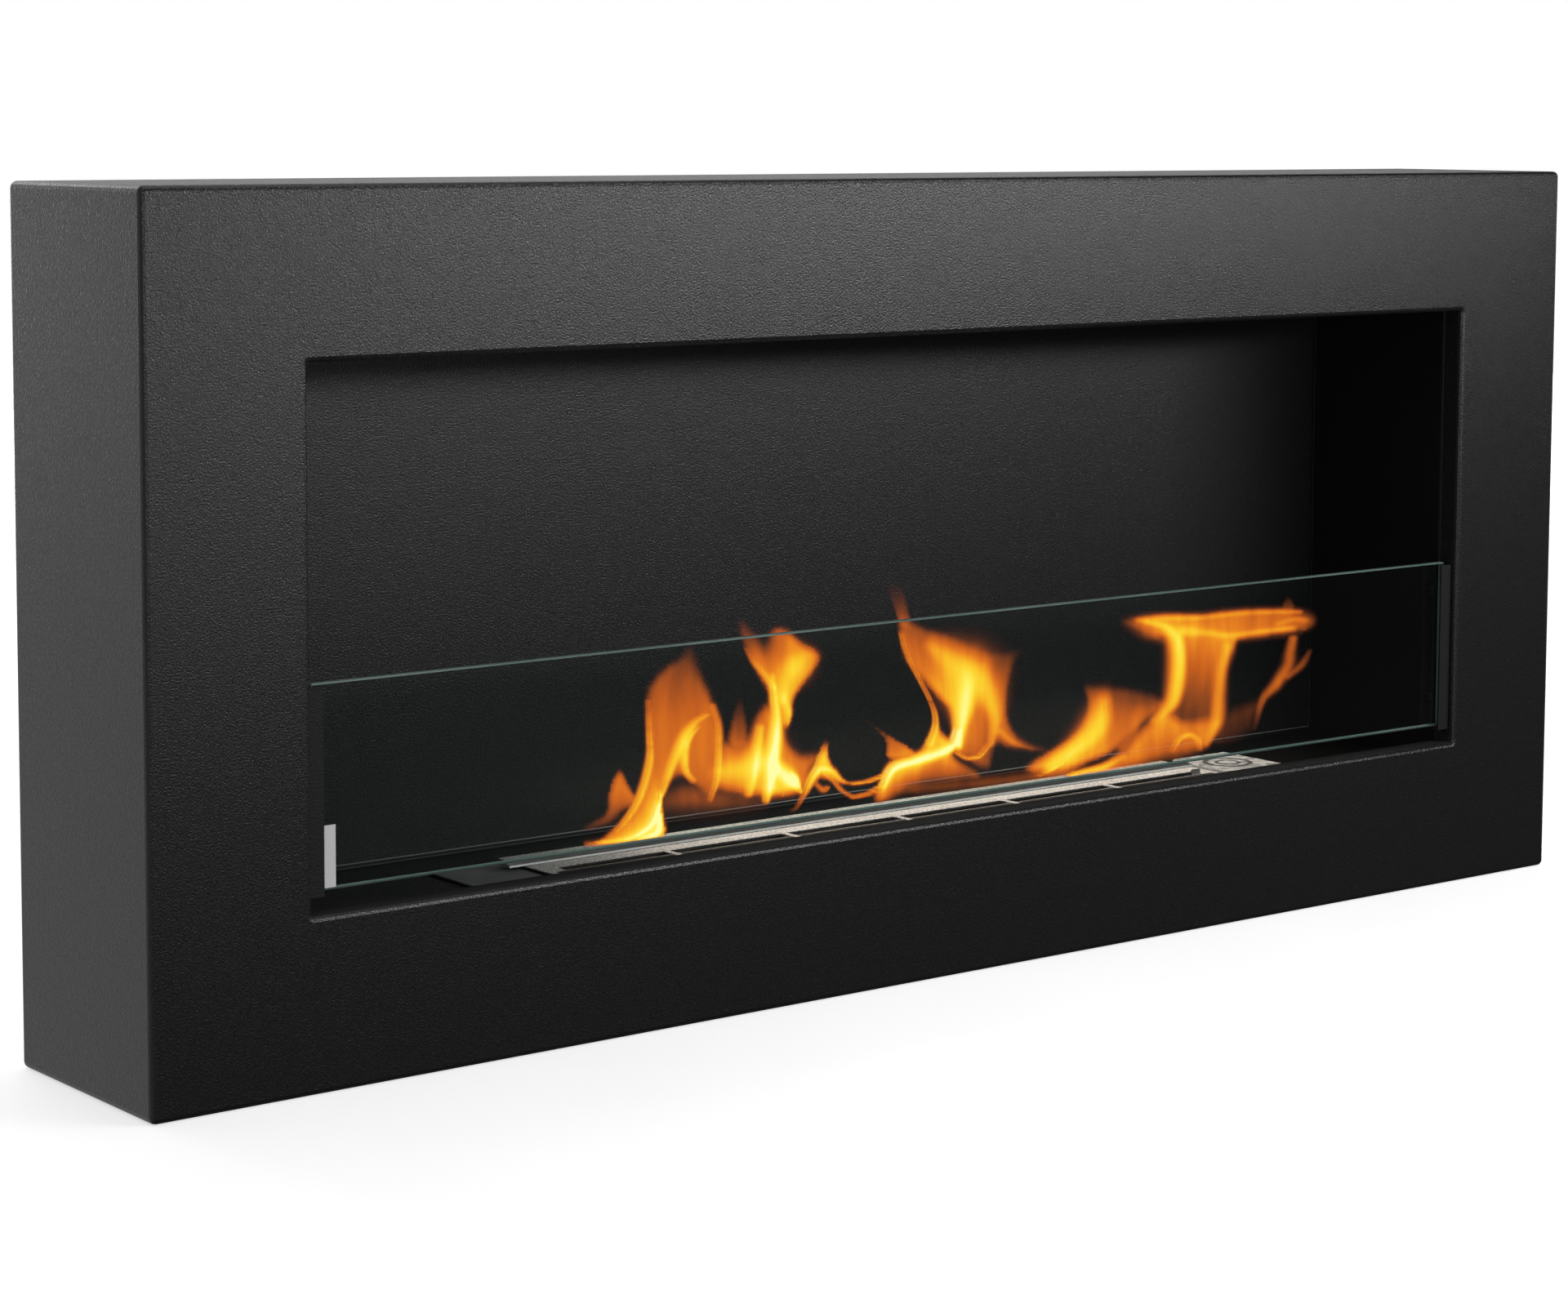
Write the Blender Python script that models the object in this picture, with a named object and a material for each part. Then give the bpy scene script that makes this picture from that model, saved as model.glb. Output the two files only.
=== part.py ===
"""A wall-hung fireplace with a real flame, made of folded sheet steel.

The frame: X to the right, Y from the front towards the wall, Z up. The origin lies under the
middle of the fireplace, at the height of its underside. Depths are measured from the front face.
"""

import math

import bmesh
import bpy
from mathutils import Matrix, Vector

# Overall size, in metres
WIDTH = 0.900
HEIGHT = 0.400
CASING_DEPTH = 0.122
SPACER_HEIGHT = 0.003
DEPTH = CASING_DEPTH + SPACER_HEIGHT

# Sheet metal
CASING_SHEET = 0.0015
FIREBOX_SHEET = 0.0012
THIN_SHEET = 0.0010
BEND_RADIUS = 0.0010
BEND_STEPS = 3
CORNER_STEPS = 3
GAP = 0.0003
EDGE = 0.0002

# How far a cutter reaches past the sheet that it cuts
REACH = 0.004

# The opening in the front face, and the folds around it
OPENING_HALF = 0.370
OPENING_BOTTOM = 0.080
OPENING_TOP = 0.323
OPENING_CORNER = 0.0008
MARGIN = 0.080
LIP_DEPTH = 0.012
OUTER_CORNER = 0.003
BACK_FLANGE = 0.014
SMALLEST_CORNER = 0.0006

# The firebox
BACK_PANEL_DEPTH = 0.113
FLOOR_TOP = 0.0716
FLOOR_FRONT_DEPTH = 0.0019
FLOOR_UPSTAND = 0.0026
FLOOR_FRONT_FLANGE = 0.012
ROOF_FLANGE = 0.011
WALL_FLANGE = 0.010
FLOOR_CUTOUT_HALF = 0.249
FLOOR_CUTOUT_FRONT = 0.0305
FLOOR_CUTOUT_BACK = 0.0775
FLOOR_CUTOUT_CORNER = 0.003
FLOOR_BOTTOM = FLOOR_TOP - FIREBOX_SHEET
ROOF_BOTTOM = OPENING_TOP + CASING_SHEET + GAP
WALL_BACK = BACK_PANEL_DEPTH - GAP
BACK_COVER_TOP_DEPTH = CASING_DEPTH - CASING_SHEET - GAP
FLANGE_END = BACK_COVER_TOP_DEPTH - THIN_SHEET - GAP
SUPPORT_X = 0.300
SUPPORT_WIDTH = 0.030
SUPPORT_FRONT = 0.008
SUPPORT_BACK = 0.108

# The plates that close the ends of the floor's cut-out
COVER_FRONT = 0.0285
COVER_BACK = 0.0795
LEFT_COVER = (-0.2605, -0.2210)
RIGHT_COVER = (0.2284, 0.2697)
RIGHT_COVER_TOP = 0.0742
RIGHT_COVER_SHEET = 0.0008
SMALL_BEND = 0.0006

# The glass pane, its label and its brackets
PANE_HALF = 0.3665
PANE_FRONT = 0.00585
PANE_THICKNESS = 0.004
PANE_BOTTOM = 0.0896
PANE_TOP = 0.1820
PANE_CHAMFER = 0.0007
LABEL_WIDTH = 0.0104
LABEL_HEIGHT = 0.0280
LABEL_THICKNESS = 0.00025
BRACKET_WALL = OPENING_HALF - GAP
BRACKET_BOTTOM = 0.0874
BRACKET_TOP = 0.1806
BRACKET_FRONT = 0.0038
BRACKET_BACK = 0.0240
BRACKET_FLANGE = 0.0080
BRACKET_TONGUE = 0.0103
BRACKET_TONGUE_LENGTH = 0.0060
PAD_HEIGHT = 0.0006
LABEL_INSET = 0.0004
LABEL_EDGE = 0.00005
BRACKET_SCREW_DEPTH = 0.018
BRACKET_SCREW_HEIGHTS = (0.104, 0.164)
PAD_EDGE = 0.0001

# The burner
BURNER_HALF = 0.2204
BURNER_FRONT = 0.028
BURNER_BACK = 0.080
TANK_RIM = 0.003
TANK_CORNER = 0.003
TANK_FOLD = 0.004
TANK_WALL = TANK_RIM + THIN_SHEET
TANK_BOTTOM = 0.018
TANK_RIM_BOTTOM = FLOOR_TOP + GAP
TANK_RIM_TOP = TANK_RIM_BOTTOM + THIN_SHEET
TOP_PLATE_SHEET = 0.0012
TOP_PLATE_EDGE = 0.0004
TOP_PLATE_BOTTOM = TANK_RIM_TOP + GAP
TOP_PLATE_TOP = TOP_PLATE_BOTTOM + TOP_PLATE_SHEET
WINDOW_COUNT = 6
WINDOW_PITCH = 0.0727
WINDOW_BRIDGE = 0.0034
WINDOW_ROW_HALF = 0.210
WINDOW_FRONT = 0.0373
WINDOW_BACK = 0.0456
WINDOW_CORNER = 0.0012
FLAME_SLOT_FRONT = 0.0680
FLAME_SLOT_BACK = 0.0735
FLAME_SLOT_CORNER = 0.0020
GUARD_FRONT = 0.0556
GUARD_BACK = 0.0656
GUARD_HEIGHT = 0.0016
GUARD_OVERHANG = 0.0092
GUARD_STEPS = 8
GUARD_FULLNESS = 0.6
FIBRE_TOP = 0.0685
FIBRE_BOTTOM = 0.0200
FIBRE_GAP = 0.0012
BOARD_EDGE = 0.0015

# The slide that closes the flame slot
SLIDE_HALF = 0.2130
SLIDE_FRONT = 0.0465
SLIDE_BACK = 0.0674
SLIDE_TOP = TOP_PLATE_BOTTOM - GAP
SLIDE_BOTTOM = SLIDE_TOP - THIN_SHEET
SLIDE_TRAVEL = 0.0065
GUIDE_WIDTH = 0.0050
GUIDE_HEIGHT = 0.0012
TAB_X = 0.2055
TAB_WIDTH = 0.0060
TAB_FRONT = 0.0376
TAB_TOP = 0.0772

# The back
BACK_COVER_CLEARANCE = 0.0013
BACK_COVER_EDGE = 0.0001
BACK_SCREW_INSET = BACK_FLANGE / 2.0 + 0.0005
BACK_SCREW_X = (-0.300, 0.0, 0.300)
BACK_SCREW_Z = (0.120, 0.280)
KEYHOLE_X = 0.300
KEYHOLE_Z = 0.354
KEYHOLE_RADIUS = 0.0055
KEYHOLE_NECK = 0.0030
KEYHOLE_RISE = 0.0140
KEYHOLE_STEPS = 14
NECK_STEPS = 6
KEYHOLE_PLATE = (0.060, 0.044)
KEYHOLE_PLATE_SHEET = 0.0020
VENT_COUNT = 9
VENT_PITCH = 0.060
VENT_LENGTH = 0.040
VENT_HEIGHT = 0.0036
VENT_ROWS = (0.034, 0.372)
SPACER_RADIUS = 0.010
SPACER_INSET = 0.030
SPACER_STEPS = 24

# Screws
SCREW_SIDES = 12
SCREW_SHANK = 0.0016
SCREW_HEAD = 0.0036
SCREW_HEAD_HEIGHT = 0.0014
SCREW_LENGTH = 0.0050
SCREW_CLEARANCE = 0.0004

# The insulation above the firebox
INSULATION_HALF = 0.355
INSULATION_FRONT = 0.006
INSULATION_BACK = 0.108
INSULATION_BOTTOM = 0.3267
INSULATION_HEIGHT = 0.026
SHIELD_HALF = 0.400
SHIELD_FRONT = 0.004
SHIELD_BACK = 0.112
SHIELD_TOP = 0.358
SHIELD_DROP = 0.022


def y_at(depth):
    """The Y of a point that lies this far behind the front face."""
    return depth - DEPTH / 2.0


def make_material(name, colour, roughness, metallic):
    """A plain surface of one colour."""
    material = bpy.data.materials.new(name)
    material.use_nodes = True
    shader = material.node_tree.nodes["Principled BSDF"]
    shader.inputs["Base Color"].default_value = (*colour, 1.0)
    shader.inputs["Roughness"].default_value = roughness
    shader.inputs["Metallic"].default_value = metallic
    return material


def add_object(name, mesh, place, material=None, parent=None):
    """Link a mesh into the scene as an object; its place is relative to its parent."""
    thing = bpy.data.objects.new(name, mesh)
    bpy.context.scene.collection.objects.link(thing)
    thing.location = place
    if material is not None:
        mesh.materials.append(material)
    if parent is not None:
        thing.parent = parent
        thing.location = Vector(place) - parent.location
    return thing


def add_axis(name, place):
    """An empty that carries the pieces of one moving body."""
    axis = bpy.data.objects.new(name, None)
    axis.empty_display_size = 0.02
    bpy.context.scene.collection.objects.link(axis)
    axis.location = place
    return axis


def round_edges(thing, width, segments=1):
    """A small bevel on every sharp edge."""
    bevel = thing.modifiers.new("edges", "BEVEL")
    bevel.width = width
    bevel.segments = segments
    bevel.limit_method = "ANGLE"
    bevel.angle_limit = math.radians(40.0)


def shade(mesh, angle=30.0):
    """Smooth shading, with edges over the angle kept sharp."""
    mesh.shade_smooth()
    mesh.set_sharp_from_angle(angle=math.radians(angle))


def mesh_from_rings(name, rings, closed):
    """Join rings of equal point counts into a body; a closed run of rings has no end caps."""
    shape = bmesh.new()
    loops = [[shape.verts.new(point) for point in ring] for ring in rings]
    count = len(loops[0])
    pairs = list(zip(loops, loops[1:]))
    if closed:
        pairs.append((loops[-1], loops[0]))
    for lower, upper in pairs:
        for index in range(count):
            following = (index + 1) % count
            shape.faces.new((lower[index], lower[following], upper[following], upper[index]))
    if not closed:
        shape.faces.new(loops[0])
        shape.faces.new(loops[-1])
    bmesh.ops.recalc_face_normals(shape, faces=shape.faces)
    mesh = bpy.data.meshes.new(name)
    shape.to_mesh(mesh)
    shape.free()
    return mesh


def swap_axes(first, second, along, axis):
    """A point from an outline's two coordinates and the distance along the third axis."""
    if axis == "X":
        return Vector((along, first, second))
    if axis == "Y":
        return Vector((first, along, second))
    return Vector((first, second, along))


def extruded_mesh(name, outline, axis, start, end):
    """An outline (the other two axes, in X, Y, Z order) drawn out along an axis."""
    rings = [[swap_axes(a, b, along, axis) for a, b in outline] for along in (start, end)]
    return mesh_from_rings(name, rings, closed=False)


def folded_outline(path, thickness, radius=BEND_RADIUS):
    """The outline of a sheet folded along a path: one face on the path, one to its left."""
    points = [Vector(point) for point in path]
    first = (points[1] - points[0]).normalized()
    last = (points[-1] - points[-2]).normalized()
    face = [points[0]]
    other = [points[0] + thickness * Vector((-first.y, first.x))]
    for before, corner, after in zip(points, points[1:], points[2:]):
        heading = (corner - before).normalized()
        leaving = (after - corner).normalized()
        turn = math.atan2(heading.x * leaving.y - heading.y * leaving.x, heading.dot(leaving))
        side = math.copysign(1.0, turn)
        face_radius = radius + thickness if side > 0.0 else radius
        start = corner - heading * face_radius * math.tan(abs(turn) / 2.0)
        centre = start + side * face_radius * Vector((-heading.y, heading.x))
        for step in range(BEND_STEPS + 1):
            spoke = Matrix.Rotation(turn * step / BEND_STEPS, 2) @ (start - centre)
            face.append(centre + spoke)
            other.append(centre + spoke * (face_radius - side * thickness) / face_radius)
    face.append(points[-1])
    other.append(points[-1] + thickness * Vector((-last.y, last.x)))
    return face + other[::-1]


def rounded_rectangle(low_a, high_a, low_b, high_b, radius):
    """The points of a rectangle whose corners are arcs, anticlockwise."""
    centres = (
        (high_a - radius, low_b + radius, -90.0),
        (high_a - radius, high_b - radius, 0.0),
        (low_a + radius, high_b - radius, 90.0),
        (low_a + radius, low_b + radius, 180.0),
    )
    points = []
    for centre_a, centre_b, start in centres:
        for step in range(CORNER_STEPS + 1):
            angle = math.radians(start + 90.0 * step / CORNER_STEPS)
            points.append((centre_a + radius * math.cos(angle), centre_b + radius * math.sin(angle)))
    return points


def add_plate(name, x_range, depths, z_range, material, parent=None, edge=EDGE):
    """A rectangular block with slightly broken edges."""
    low = Vector((x_range[0], y_at(depths[0]), z_range[0]))
    high = Vector((x_range[1], y_at(depths[1]), z_range[1]))
    centre = (low + high) / 2.0
    half = (high - low) / 2.0
    outline = [(-half.x, -half.y), (half.x, -half.y), (half.x, half.y), (-half.x, half.y)]
    mesh = extruded_mesh(name, outline, "Z", -half.z, half.z)
    plate = add_object(name, mesh, centre, material, parent)
    round_edges(plate, edge)
    return plate


def add_folded(name, path, axis, start, end, thickness, place, material, parent=None):
    """A folded sheet of one section; the path is relative to the sheet's place."""
    mesh = extruded_mesh(name, folded_outline(path, thickness), axis, start, end)
    shade(mesh)
    return add_object(name, mesh, place, material, parent)


def joined_cutters(name, meshes):
    """One unseen object that holds the shapes to be cut away."""
    shape = bmesh.new()
    for mesh in meshes:
        shape.from_mesh(mesh)
        bpy.data.meshes.remove(mesh)
    mesh = bpy.data.meshes.new(name)
    shape.to_mesh(mesh)
    shape.free()
    cutter = add_object(name, mesh, (0.0, 0.0, 0.0))
    cutter.hide_render = True
    cutter.display_type = "WIRE"
    return cutter


def cut_away(target, cutter):
    """Take the cutter's shapes out of the target."""
    cutter.parent = target
    cutter.location = -target.location
    if target.parent is not None:
        cutter.location -= target.parent.location
    cut_with(target, cutter)


def cut_with(target, cutter):
    """Cut with a cutter that stays where it is."""
    cut = target.modifiers.new("holes", "BOOLEAN")
    cut.object = cutter
    cut.operation = "DIFFERENCE"
    cut.solver = "EXACT"


def screw_hole(centre_a, centre_b, axis, start, end):
    """A round cutter along an axis, a little wider than a screw's shank."""
    radius = SCREW_SHANK + SCREW_CLEARANCE
    ring = [2.0 * math.pi * step / SCREW_SIDES for step in range(SCREW_SIDES)]
    outline = [(centre_a + radius * math.cos(a), centre_b + radius * math.sin(a)) for a in ring]
    return extruded_mesh("screw_hole", outline, axis, start, end)


def slot_cutter(centre_x, centre_z, length, height, depths):
    """A slot with round ends, cut along Y."""
    radius = 0.49 * height
    outline = rounded_rectangle(
        centre_x - length / 2.0,
        centre_x + length / 2.0,
        centre_z - height / 2.0,
        centre_z + height / 2.0,
        radius,
    )
    return extruded_mesh("slot", outline, "Y", y_at(depths[0]), y_at(depths[1]))


def keyhole_cutter(centre_x, depths):
    """A round hole for a screw's head, with a narrow neck above it."""
    half_neck = math.degrees(math.asin(KEYHOLE_NECK / KEYHOLE_RADIUS))
    outline = []
    for step in range(KEYHOLE_STEPS + 1):
        angle = math.radians(90.0 + half_neck + (360.0 - 2.0 * half_neck) * step / KEYHOLE_STEPS)
        round_z = KEYHOLE_Z + KEYHOLE_RADIUS * math.sin(angle)
        outline.append((centre_x + KEYHOLE_RADIUS * math.cos(angle), round_z))
    for step in range(NECK_STEPS + 1):
        angle = math.radians(180.0 * step / NECK_STEPS)
        neck_z = KEYHOLE_Z + KEYHOLE_RISE + KEYHOLE_NECK * math.sin(angle)
        outline.append((centre_x + KEYHOLE_NECK * math.cos(angle), neck_z))
    return extruded_mesh("keyhole", outline, "Y", y_at(depths[0]), y_at(depths[1]))


def screw_mesh():
    """A low pan-head screw with a hexagonal recess; its head's seat is at the origin."""
    recess = 0.42 * SCREW_HEAD
    sections = (
        (SCREW_SHANK * 0.7, -SCREW_LENGTH),
        (SCREW_SHANK, -SCREW_LENGTH * 0.85),
        (SCREW_SHANK, 0.0),
        (SCREW_HEAD, 0.0),
        (SCREW_HEAD, SCREW_HEAD_HEIGHT * 0.45),
        (SCREW_HEAD * 0.80, SCREW_HEAD_HEIGHT * 0.9),
        (SCREW_HEAD * 0.60, SCREW_HEAD_HEIGHT),
    )
    ring = [2.0 * math.pi * step / SCREW_SIDES for step in range(SCREW_SIDES)]
    rings = [[(radius * math.cos(a), radius * math.sin(a), z) for a in ring] for radius, z in sections]
    corner = [recess * (1.0 if step % 2 == 0 else math.cos(math.pi / 6.0)) for step in range(SCREW_SIDES)]
    for height in (SCREW_HEAD_HEIGHT, SCREW_HEAD_HEIGHT * 0.4):
        rings.append([(r * math.cos(a), r * math.sin(a), height) for r, a in zip(corner, ring)])
    mesh = mesh_from_rings("screw", rings, closed=False)
    shade(mesh)
    return mesh


def add_screw(name, seat, outward, material):
    """A screw whose head stands on a seat and points outward."""
    screw = add_object(name, screw_mesh(), seat, material)
    screw.rotation_euler = Vector(outward).to_track_quat("Z", "Y").to_euler()
    return screw


def casing_ring(offset, depth):
    """The casing's section at one point, carried round the front as a rounded rectangle.

    Offsets run from the outer edge inward; past the middle of the margin a point belongs to
    the opening, and keeps its distance to the opening's edge.
    """
    if offset < MARGIN / 2.0:
        radius = max(OUTER_CORNER - offset, SMALLEST_CORNER)
        half = WIDTH / 2.0 - offset
        corners = rounded_rectangle(-half, half, offset, HEIGHT - offset, radius)
    else:
        outset = MARGIN - offset
        half = OPENING_HALF + outset
        low = OPENING_BOTTOM - outset
        high = OPENING_TOP + outset
        corners = rounded_rectangle(-half, half, low, high, OPENING_CORNER + outset)
    return [(x, y_at(depth), z) for x, z in corners]


def back_screw_places():
    """Where the back cover is screwed to the casing's flange, as X and Z."""
    side = WIDTH / 2.0 - BACK_SCREW_INSET
    places = [(x, z) for z in (BACK_SCREW_INSET, HEIGHT - BACK_SCREW_INSET) for x in BACK_SCREW_X]
    places += [(x, z) for z in BACK_SCREW_Z for x in (-side, side)]
    return places


def back_screw_holes(front, back):
    """The cutters for the back cover's screws, between two depths."""
    return [screw_hole(x, z, "Y", y_at(front), y_at(back)) for x, z in back_screw_places()]


def build_casing(paint):
    """The folded front with its four sides, its lip round the opening and its rear flange."""
    path = [
        (BACK_FLANGE, CASING_DEPTH),
        (0.0, CASING_DEPTH),
        (0.0, 0.0),
        (MARGIN, 0.0),
        (MARGIN, LIP_DEPTH),
    ]
    section = folded_outline(path, CASING_SHEET)
    rings = [casing_ring(point.x, point.y) for point in section]
    mesh = mesh_from_rings("front_casing", rings, closed=True)
    shade(mesh)
    casing = add_object("front_casing", mesh, (0.0, 0.0, 0.0), paint)
    holes = back_screw_holes(CASING_DEPTH - REACH, CASING_DEPTH + REACH)
    cut_away(casing, joined_cutters("casing_holes", holes))


def build_back_cover(paint):
    """The back cover, with its two rows of vents and its two keyholes."""
    front = BACK_COVER_TOP_DEPTH - THIN_SHEET
    edge = CASING_SHEET + BACK_COVER_CLEARANCE
    half = WIDTH / 2.0 - edge
    depths = (front, BACK_COVER_TOP_DEPTH)
    heights = (edge, HEIGHT - edge)
    cover = add_plate("back_cover", (-half, half), depths, heights, paint, edge=BACK_COVER_EDGE)
    depths = (front - REACH, BACK_COVER_TOP_DEPTH + REACH)
    cutters = back_screw_holes(*depths)
    cutters += [keyhole_cutter(x, depths) for x in (-KEYHOLE_X, KEYHOLE_X)]
    middle = (VENT_COUNT - 1) / 2.0
    for row in VENT_ROWS:
        for index in range(VENT_COUNT):
            x = (index - middle) * VENT_PITCH
            cutters.append(slot_cutter(x, row, VENT_LENGTH, VENT_HEIGHT, depths))
    cut_away(cover, joined_cutters("back_cover_holes", cutters))


def build_keyhole_plates(steel):
    """The plates that stiffen the back cover round its keyholes."""
    plate_back = BACK_COVER_TOP_DEPTH - THIN_SHEET - GAP
    plate_front = plate_back - KEYHOLE_PLATE_SHEET
    middle_z = KEYHOLE_Z + KEYHOLE_RISE / 2.0
    for side, x in (("left", -KEYHOLE_X), ("right", KEYHOLE_X)):
        plate = add_plate(
            side + "_keyhole_plate",
            (x - KEYHOLE_PLATE[0] / 2.0, x + KEYHOLE_PLATE[0] / 2.0),
            (plate_front, plate_back),
            (middle_z - KEYHOLE_PLATE[1] / 2.0, middle_z + KEYHOLE_PLATE[1] / 2.0),
            steel,
        )
        hole = keyhole_cutter(x, (plate_front - REACH, plate_back + REACH))
        cut_away(plate, joined_cutters(side + "_keyhole", [hole]))


def build_back_screws(steel):
    """The screws that hold the back cover to the casing's flange."""
    seat_y = y_at(CASING_DEPTH + GAP)
    for index, (x, z) in enumerate(back_screw_places()):
        add_screw("back_screw_%d" % (index + 1), (x, seat_y, z), (0.0, 1.0, 0.0), steel)


def spacer_mesh(name):
    """A round rubber foot that stands on the back cover and reaches to the wall."""
    height = DEPTH - BACK_COVER_TOP_DEPTH - GAP
    sections = ((1.0, 0.0), (1.0, 0.8), (0.92, 1.0))
    ring = [2.0 * math.pi * step / SPACER_STEPS for step in range(SPACER_STEPS)]
    rings = []
    for width, rise in sections:
        radius = width * SPACER_RADIUS
        rings.append([(radius * math.cos(a), rise * height, radius * math.sin(a)) for a in ring])
    mesh = mesh_from_rings(name, rings, closed=False)
    shade(mesh)
    return mesh


def build_spacers(rubber):
    """The four feet near the corners of the back."""
    side_x = WIDTH / 2.0 - SPACER_INSET
    foot_y = y_at(BACK_COVER_TOP_DEPTH + GAP)
    for level, z in (("lower", SPACER_INSET), ("upper", HEIGHT - SPACER_INSET)):
        for side, x in (("left", -side_x), ("right", side_x)):
            name = "%s_%s_spacer" % (level, side)
            add_object(name, spacer_mesh(name), (x, foot_y, z), rubber)


def build_firebox_walls(paint):
    """The firebox's side walls, each with a flange at the front and at the back."""
    wall_front = LIP_DEPTH + GAP
    height = ROOF_BOTTOM - GAP - FLOOR_BOTTOM
    for side, sign in (("left", -1.0), ("right", 1.0)):
        inner = sign * OPENING_HALF
        outer = sign * (OPENING_HALF + WALL_FLANGE)
        path = [
            (outer, y_at(wall_front)),
            (inner, y_at(wall_front)),
            (inner, y_at(WALL_BACK)),
            (outer, y_at(WALL_BACK)),
        ]
        if sign > 0.0:
            path.reverse()
        path = [(x - inner, y) for x, y in path]
        name = "firebox_%s_wall" % side
        place = (inner, 0.0, FLOOR_BOTTOM)
        add_folded(name, path, "Z", 0.0, height, FIREBOX_SHEET, place, paint)


def build_firebox_back(paint):
    """The firebox's back panel, folded back at its foot and its top."""
    height = ROOF_BOTTOM - GAP - FLOOR_BOTTOM
    path = [
        (y_at(FLANGE_END), height),
        (y_at(BACK_PANEL_DEPTH), height),
        (y_at(BACK_PANEL_DEPTH), 0.0),
        (y_at(FLANGE_END), 0.0),
    ]
    half = OPENING_HALF + WALL_FLANGE
    place = (0.0, 0.0, FLOOR_BOTTOM)
    add_folded("firebox_back_panel", path, "X", -half, half, FIREBOX_SHEET, place, paint)


def build_firebox_roof(paint):
    """The firebox's roof, folded up at its front and its back."""
    path = [
        (y_at(FLOOR_FRONT_DEPTH), ROOF_FLANGE),
        (y_at(FLOOR_FRONT_DEPTH), 0.0),
        (y_at(FLANGE_END), 0.0),
        (y_at(FLANGE_END), ROOF_FLANGE),
    ]
    half = OPENING_HALF + WALL_FLANGE
    place = (0.0, 0.0, ROOF_BOTTOM)
    add_folded("firebox_roof", path, "X", -half, half, FIREBOX_SHEET, place, paint)


def build_firebox_floor(paint):
    """The floor, folded down at the front and up at the back, with the burner's cut-out."""
    path = [
        (y_at(WALL_BACK - FIREBOX_SHEET), FLOOR_UPSTAND),
        (y_at(WALL_BACK - FIREBOX_SHEET), 0.0),
        (y_at(FLOOR_FRONT_DEPTH), 0.0),
        (y_at(FLOOR_FRONT_DEPTH), -FLOOR_FRONT_FLANGE),
    ]
    half = OPENING_HALF - GAP
    place = (0.0, 0.0, FLOOR_TOP)
    floor = add_folded("firebox_floor", path, "X", -half, half, FIREBOX_SHEET, place, paint)
    front = y_at(FLOOR_CUTOUT_FRONT)
    back = y_at(FLOOR_CUTOUT_BACK)
    outline = rounded_rectangle(
        -FLOOR_CUTOUT_HALF, FLOOR_CUTOUT_HALF, front, back, FLOOR_CUTOUT_CORNER
    )
    hole = extruded_mesh("cutout", outline, "Z", FLOOR_TOP - REACH, FLOOR_TOP + REACH)
    cut_away(floor, joined_cutters("floor_cutout", [hole]))


def build_floor_supports(steel):
    """The two channels that carry the floor on the casing's bottom."""
    low = CASING_SHEET + GAP
    rise = FLOOR_BOTTOM - GAP - low
    width = SUPPORT_WIDTH / 2.0
    path = [(-width, 0.0), (width, 0.0), (width, rise), (-width, rise)]
    front = y_at(SUPPORT_FRONT)
    back = y_at(SUPPORT_BACK)
    for side, x in (("left", -SUPPORT_X), ("right", SUPPORT_X)):
        name = "%s_floor_support" % side
        add_folded(name, path, "Y", front, back, CASING_SHEET, (x, 0.0, low), steel)


def build_insulation(board):
    """The board that lies on the firebox's roof."""
    add_plate(
        "roof_insulation",
        (-INSULATION_HALF, INSULATION_HALF),
        (INSULATION_FRONT, INSULATION_BACK),
        (INSULATION_BOTTOM, INSULATION_BOTTOM + INSULATION_HEIGHT),
        board,
        edge=BOARD_EDGE,
    )


def build_heat_shield(steel):
    """The sheet that shields the casing's top, folded down at its front and its back."""
    path = [
        (y_at(SHIELD_FRONT), -SHIELD_DROP),
        (y_at(SHIELD_FRONT), 0.0),
        (y_at(SHIELD_BACK), 0.0),
        (y_at(SHIELD_BACK), -SHIELD_DROP),
    ]
    path.reverse()
    place = (0.0, 0.0, SHIELD_TOP)
    add_folded("heat_shield", path, "X", -SHIELD_HALF, SHIELD_HALF, THIN_SHEET, place, steel)


def build_floor_covers(dark, bright):
    """The two plates beside the burner: a flat one on the left, a folded one on the right."""
    low = FLOOR_TOP + GAP
    depths = (COVER_FRONT, COVER_BACK)
    add_plate("left_floor_cover", LEFT_COVER, depths, (low, low + THIN_SHEET), dark)
    width = RIGHT_COVER[1] - RIGHT_COVER[0]
    top = RIGHT_COVER_TOP - low
    path = [(width, 0.0), (width, top), (0.0, top), (0.0, 0.0)]
    outline = folded_outline(path, RIGHT_COVER_SHEET, SMALL_BEND)
    mesh = extruded_mesh("right_floor_cover", outline, "Y", y_at(COVER_FRONT), y_at(COVER_BACK))
    shade(mesh)
    add_object("right_floor_cover", mesh, (RIGHT_COVER[0], 0.0, low), bright)


def build_pane(glass, paper):
    """The loose pane and its label."""
    pane_axis = add_axis("pane_axis", (0.0, y_at(PANE_FRONT + PANE_THICKNESS / 2.0), PANE_BOTTOM))
    add_plate(
        "glass_pane",
        (-PANE_HALF, PANE_HALF),
        (PANE_FRONT, PANE_FRONT + PANE_THICKNESS),
        (PANE_BOTTOM, PANE_TOP),
        glass,
        pane_axis,
        edge=PANE_CHAMFER,
    )
    label_left = -PANE_HALF + PANE_CHAMFER + LABEL_INSET
    label_back = PANE_FRONT - GAP
    label_bottom = PANE_BOTTOM + PANE_CHAMFER + LABEL_INSET
    add_plate(
        "pane_label",
        (label_left, label_left + LABEL_WIDTH),
        (label_back - LABEL_THICKNESS, label_back),
        (label_bottom, label_bottom + LABEL_HEIGHT),
        paper,
        pane_axis,
        edge=LABEL_EDGE,
    )


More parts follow.
